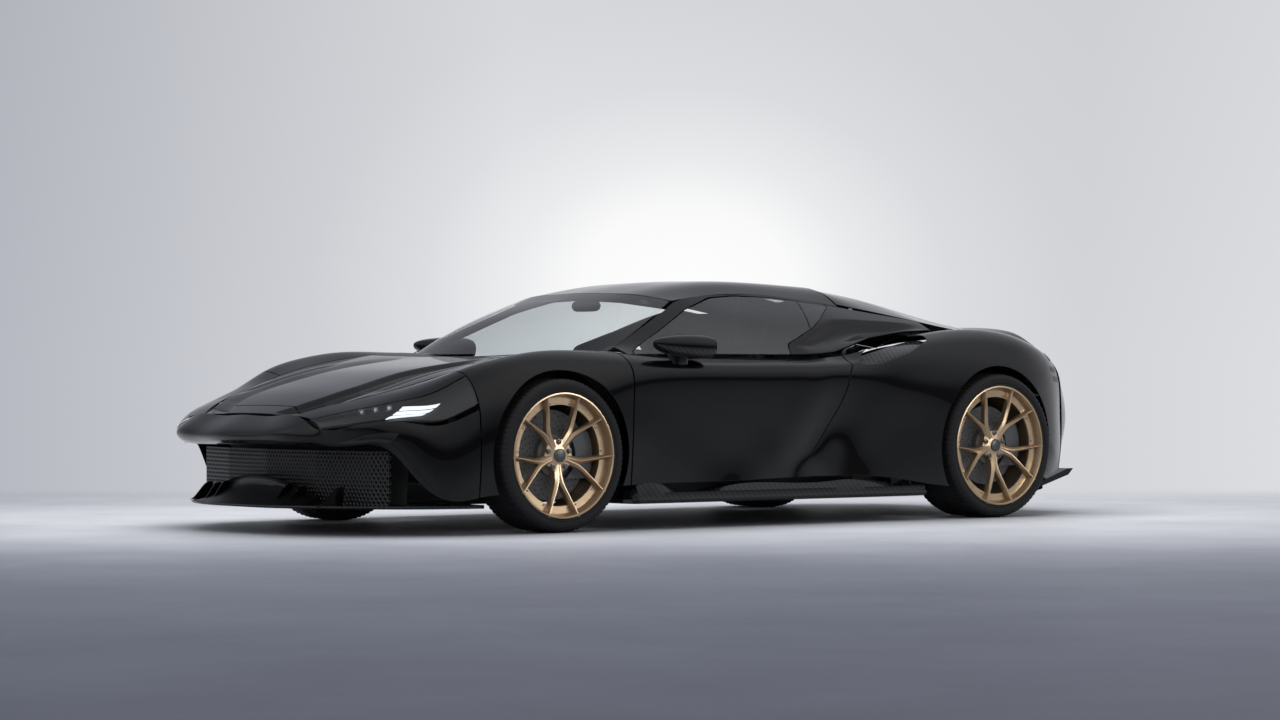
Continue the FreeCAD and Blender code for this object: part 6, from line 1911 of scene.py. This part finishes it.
def stage_floor():
    """A sealed concrete floor with painted light and shade in its colour: brightest round the car and darker towards
    the camera. It fades into the backdrop far behind the car.
    """
    material, shader = surface_material("pale_studio_floor", {"Roughness": 0.5, "Specular IOR Level": 0.25})
    place = place_in_metres(material)
    depth = node(material, "ShaderNodeVectorMath", {"operation": "DOT_PRODUCT", 1: LOOK}, {0: (place, "Object")})
    reach = node(material, "ShaderNodeMapRange", {"From Min": FLOOR_PAINTED_LIGHT_AND_SHADE[0][0] - CAMERA_DISTANCE,
                                                  "From Max": FLOOR_PAINTED_LIGHT_AND_SHADE[-1][0] - CAMERA_DISTANCE}, {"Value": (depth, "Value")})
    span = FLOOR_PAINTED_LIGHT_AND_SHADE[-1][0] - FLOOR_PAINTED_LIGHT_AND_SHADE[0][0]
    # This ramp paints the floor's light and shade into its base colour.
    tone = ramp(material, reach, "Result", [((far - FLOOR_PAINTED_LIGHT_AND_SHADE[0][0]) / span, colour) for far, colour in FLOOR_PAINTED_LIGHT_AND_SHADE])
    cloud = node(material, "ShaderNodeTexNoise", {"Scale": 1.1, "Detail": 6.0, "Roughness": 0.65}, {"Vector": (place, "Object")})
    wear = ramp(material, cloud, "Fac", [(0.3, "#e4e4e6"), (0.7, "#ffffff")])
    blend = node(material, "ShaderNodeMix", {"data_type": "RGBA", "blend_type": "MULTIPLY", "Factor": 1.0})
    link(material, tone, "Color", blend, 6)
    link(material, wear, "Color", blend, 7)
    link(material, blend, 2, shader, "Base Color")
    fade = node(material, "ShaderNodeMapRange", {"interpolation_type": "SMOOTHSTEP", "From Min": 18.7 - CAMERA_DISTANCE,
                                                 "From Max": 21.5 - CAMERA_DISTANCE, "To Min": 1.0, "To Max": 0.0},
                {"Value": (depth, "Value")})
    link(material, fade, "Result", shader, "Alpha")
    floor = mesh_object("studio_floor", [(-FLOOR_HALF, -FLOOR_HALF, 0), (FLOOR_HALF, -FLOOR_HALF, 0),
                                         (FLOOR_HALF, FLOOR_HALF, 0), (-FLOOR_HALF, FLOOR_HALF, 0)], [(0, 1, 2, 3)],
                        materials=[material])
    floor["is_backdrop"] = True
    return floor


stage_floor()

# %% World
def studio_world():
    """A pale wall with a white glow behind the car, a dark room on the camera's side and soft light overhead."""
    world = bpy.data.worlds.new("studio_world")
    bpy.context.scene.world = world
    world.use_nodes = True
    nodes = world.node_tree.nodes
    plain = nodes["Background"]
    plain.inputs["Color"].default_value = linear("#dfe3ea")
    plain.inputs["Strength"].default_value = 0.50
    seen = node(world, "ShaderNodeBackground", {"Strength": 1.0})
    place = node(world, "ShaderNodeTexCoord")
    split = node(world, "ShaderNodeSeparateXYZ", links={"Vector": (place, "Generated")})
    right = node(world, "ShaderNodeVectorMath", {"operation": "DOT_PRODUCT", 1: RIGHT_OF_LOOK}, {0: (place, "Generated")})
    away = node(world, "ShaderNodeVectorMath", {"operation": "DOT_PRODUCT", 1: LOOK}, {0: (place, "Generated")})
    across = node(world, "ShaderNodeMapRange", {"From Min": -0.18, "From Max": 0.18}, {"Value": (right, "Value")})
    wall = ramp(world, across, "Result", [(0.0, "#b6b9c1"), (0.12, "#c2c4cb"), (0.25, "#cfd1d6"), (0.40, "#dcdde1"), (0.62, "#d8dade"), (0.85, "#d4d5d9"), (1.0, "#dcdde1")])
    pair = node(world, "ShaderNodeCombineXYZ", links={"X": (right, "Value"), "Z": (split, "Z")})
    glow_place = node(world, "ShaderNodeMapping", {"Location": (-0.12, 0.0, -0.30), "Scale": (9.5, 1.0, 12.5)}, {"Vector": (pair, "Vector")})
    reach = node(world, "ShaderNodeVectorMath", {"operation": "LENGTH"}, {0: (glow_place, "Vector")})
    glow = ramp(world, reach, "Value", [(0.0, "#ffffff"), (0.28, "#f4f4f4"), (0.45, "#bcbcbc"), (0.70, "#6a6a6a"), (1.0, "#000000")])
    lit = node(world, "ShaderNodeMix", {"data_type": "RGBA", 7: linear("#ffffff")})
    link(world, glow, "Color", lit, 0)
    link(world, wall, "Color", lit, 6)
    up_wall = ramp(world, split, "Z", [(0.0, "#ffffff"), (0.11, "#f8f8f8"), (0.22, "#dcdcde"), (0.50, "#c6c7ca"), (0.75, "#dddee1")])
    shade = node(world, "ShaderNodeMix", {"data_type": "RGBA", "blend_type": "MULTIPLY", 0: 1.0})
    link(world, lit, 2, shade, 6)
    link(world, up_wall, "Color", shade, 7)
    room = ramp(world, split, "Z", [(0.0, "#030304"), (0.05, "#08090b"), (0.13, "#b0b3b9"), (0.36, "#e4e6ea"), (0.62, "#f4f5f7"), (0.85, "#f4f5f7"), (1.0, "#c6c8cd")])
    side = node(world, "ShaderNodeMapRange", {"interpolation_type": "SMOOTHSTEP", "From Min": -0.05, "From Max": 0.45}, {"Value": (away, "Value")})
    both = node(world, "ShaderNodeMix", {"data_type": "RGBA"})
    link(world, side, "Result", both, 0)
    link(world, room, "Color", both, 6)
    link(world, shade, 2, both, 7)
    link(world, both, 2, seen, "Color")
    path = node(world, "ShaderNodeLightPath")
    mirror = node(world, "ShaderNodeMath", {"operation": "MAXIMUM"}, {0: (path, "Is Camera Ray"), 1: (path, "Is Glossy Ray")})
    either = node(world, "ShaderNodeMath", {"operation": "MAXIMUM"}, {0: (mirror, "Value"), 1: (path, "Is Transmission Ray")})
    mix = node(world, "ShaderNodeMixShader", links={"Fac": (either, "Value")})
    link(world, plain, "Background", mix, 1)
    link(world, seen, "Background", mix, 2)
    link(world, mix, "Shader", nodes["World Output"], "Surface")


studio_world()

# %% Lamps
def soft_lamp(name, place, aim, wide, tall, power, mirrored=False, receivers=None):
    """A soft lamp. One that isn't mirrored only lights, and one with receivers lights only those."""
    lamp = bpy.data.lights.new(name, "AREA")
    lamp.shape = "RECTANGLE"
    lamp.size, lamp.size_y = wide, tall
    lamp.energy = power
    thing = bpy.data.objects.new(name, lamp)
    thing.location = place
    thing.rotation_euler = (Vector(aim) - Vector(place)).to_track_quat("-Z", "Y").to_euler()
    thing.visible_glossy = mirrored
    thing.visible_camera = False
    if receivers:
        lit = bpy.data.collections.new(name + "_receivers")
        for receiver in receivers:
            lit.objects.link(receiver)
        thing.light_linking.receiver_collection = lit
    bpy.context.scene.collection.objects.link(thing)
    return thing


wheels = [thing for thing in bpy.data.objects if thing.name.startswith(("forged_rim", "centre_cap", "lug_bolts", "rim_studs"))]
soft_lamp("overhead_softbox", (-0.3, -0.4, 4.6), (-0.3, -0.4, 0), 7.0, 3.6, 330)
soft_lamp("wheel_side_softbox", (-3.5, 6.5, 2.2), (0, 0.9, 0.35), 3.0, 2.0, 210, True, wheels)
soft_lamp("wheel_front_softbox", (5.5, 6.0, 2.6), (0, 0.9, 0.35), 3.0, 2.0, 170, True, wheels)

# %% Camera
camera_data = bpy.data.cameras.new("studio_camera")
camera_data.lens = 99.9
camera_data.sensor_width = 36.0
camera = bpy.data.objects.new("studio_camera", camera_data)
yaw, pitch = math.radians(-128.927), math.radians(0.18)
facing = Vector((math.cos(pitch) * math.cos(yaw), math.cos(pitch) * math.sin(yaw), math.sin(pitch)))
camera.location = (10.689, 13.238, 0.707)
camera.rotation_euler = facing.to_track_quat("-Z", "Y").to_euler()
bpy.context.scene.collection.objects.link(camera)
bpy.context.scene.camera = camera
bpy.context.scene.view_settings.view_transform = "Standard"

# %% [markdown]
# ## Size and finish
# The dressed model's box is kept beside the solids' box.

# %% Size and finish
low, high = cad_bounds
now_low, now_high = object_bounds()
{"cad": [list(low), list(high)], "visual": [list(now_low), list(now_high)]}
print("visual box:", [round(value, 4) for value in now_low], [round(value, 4) for value in now_high])
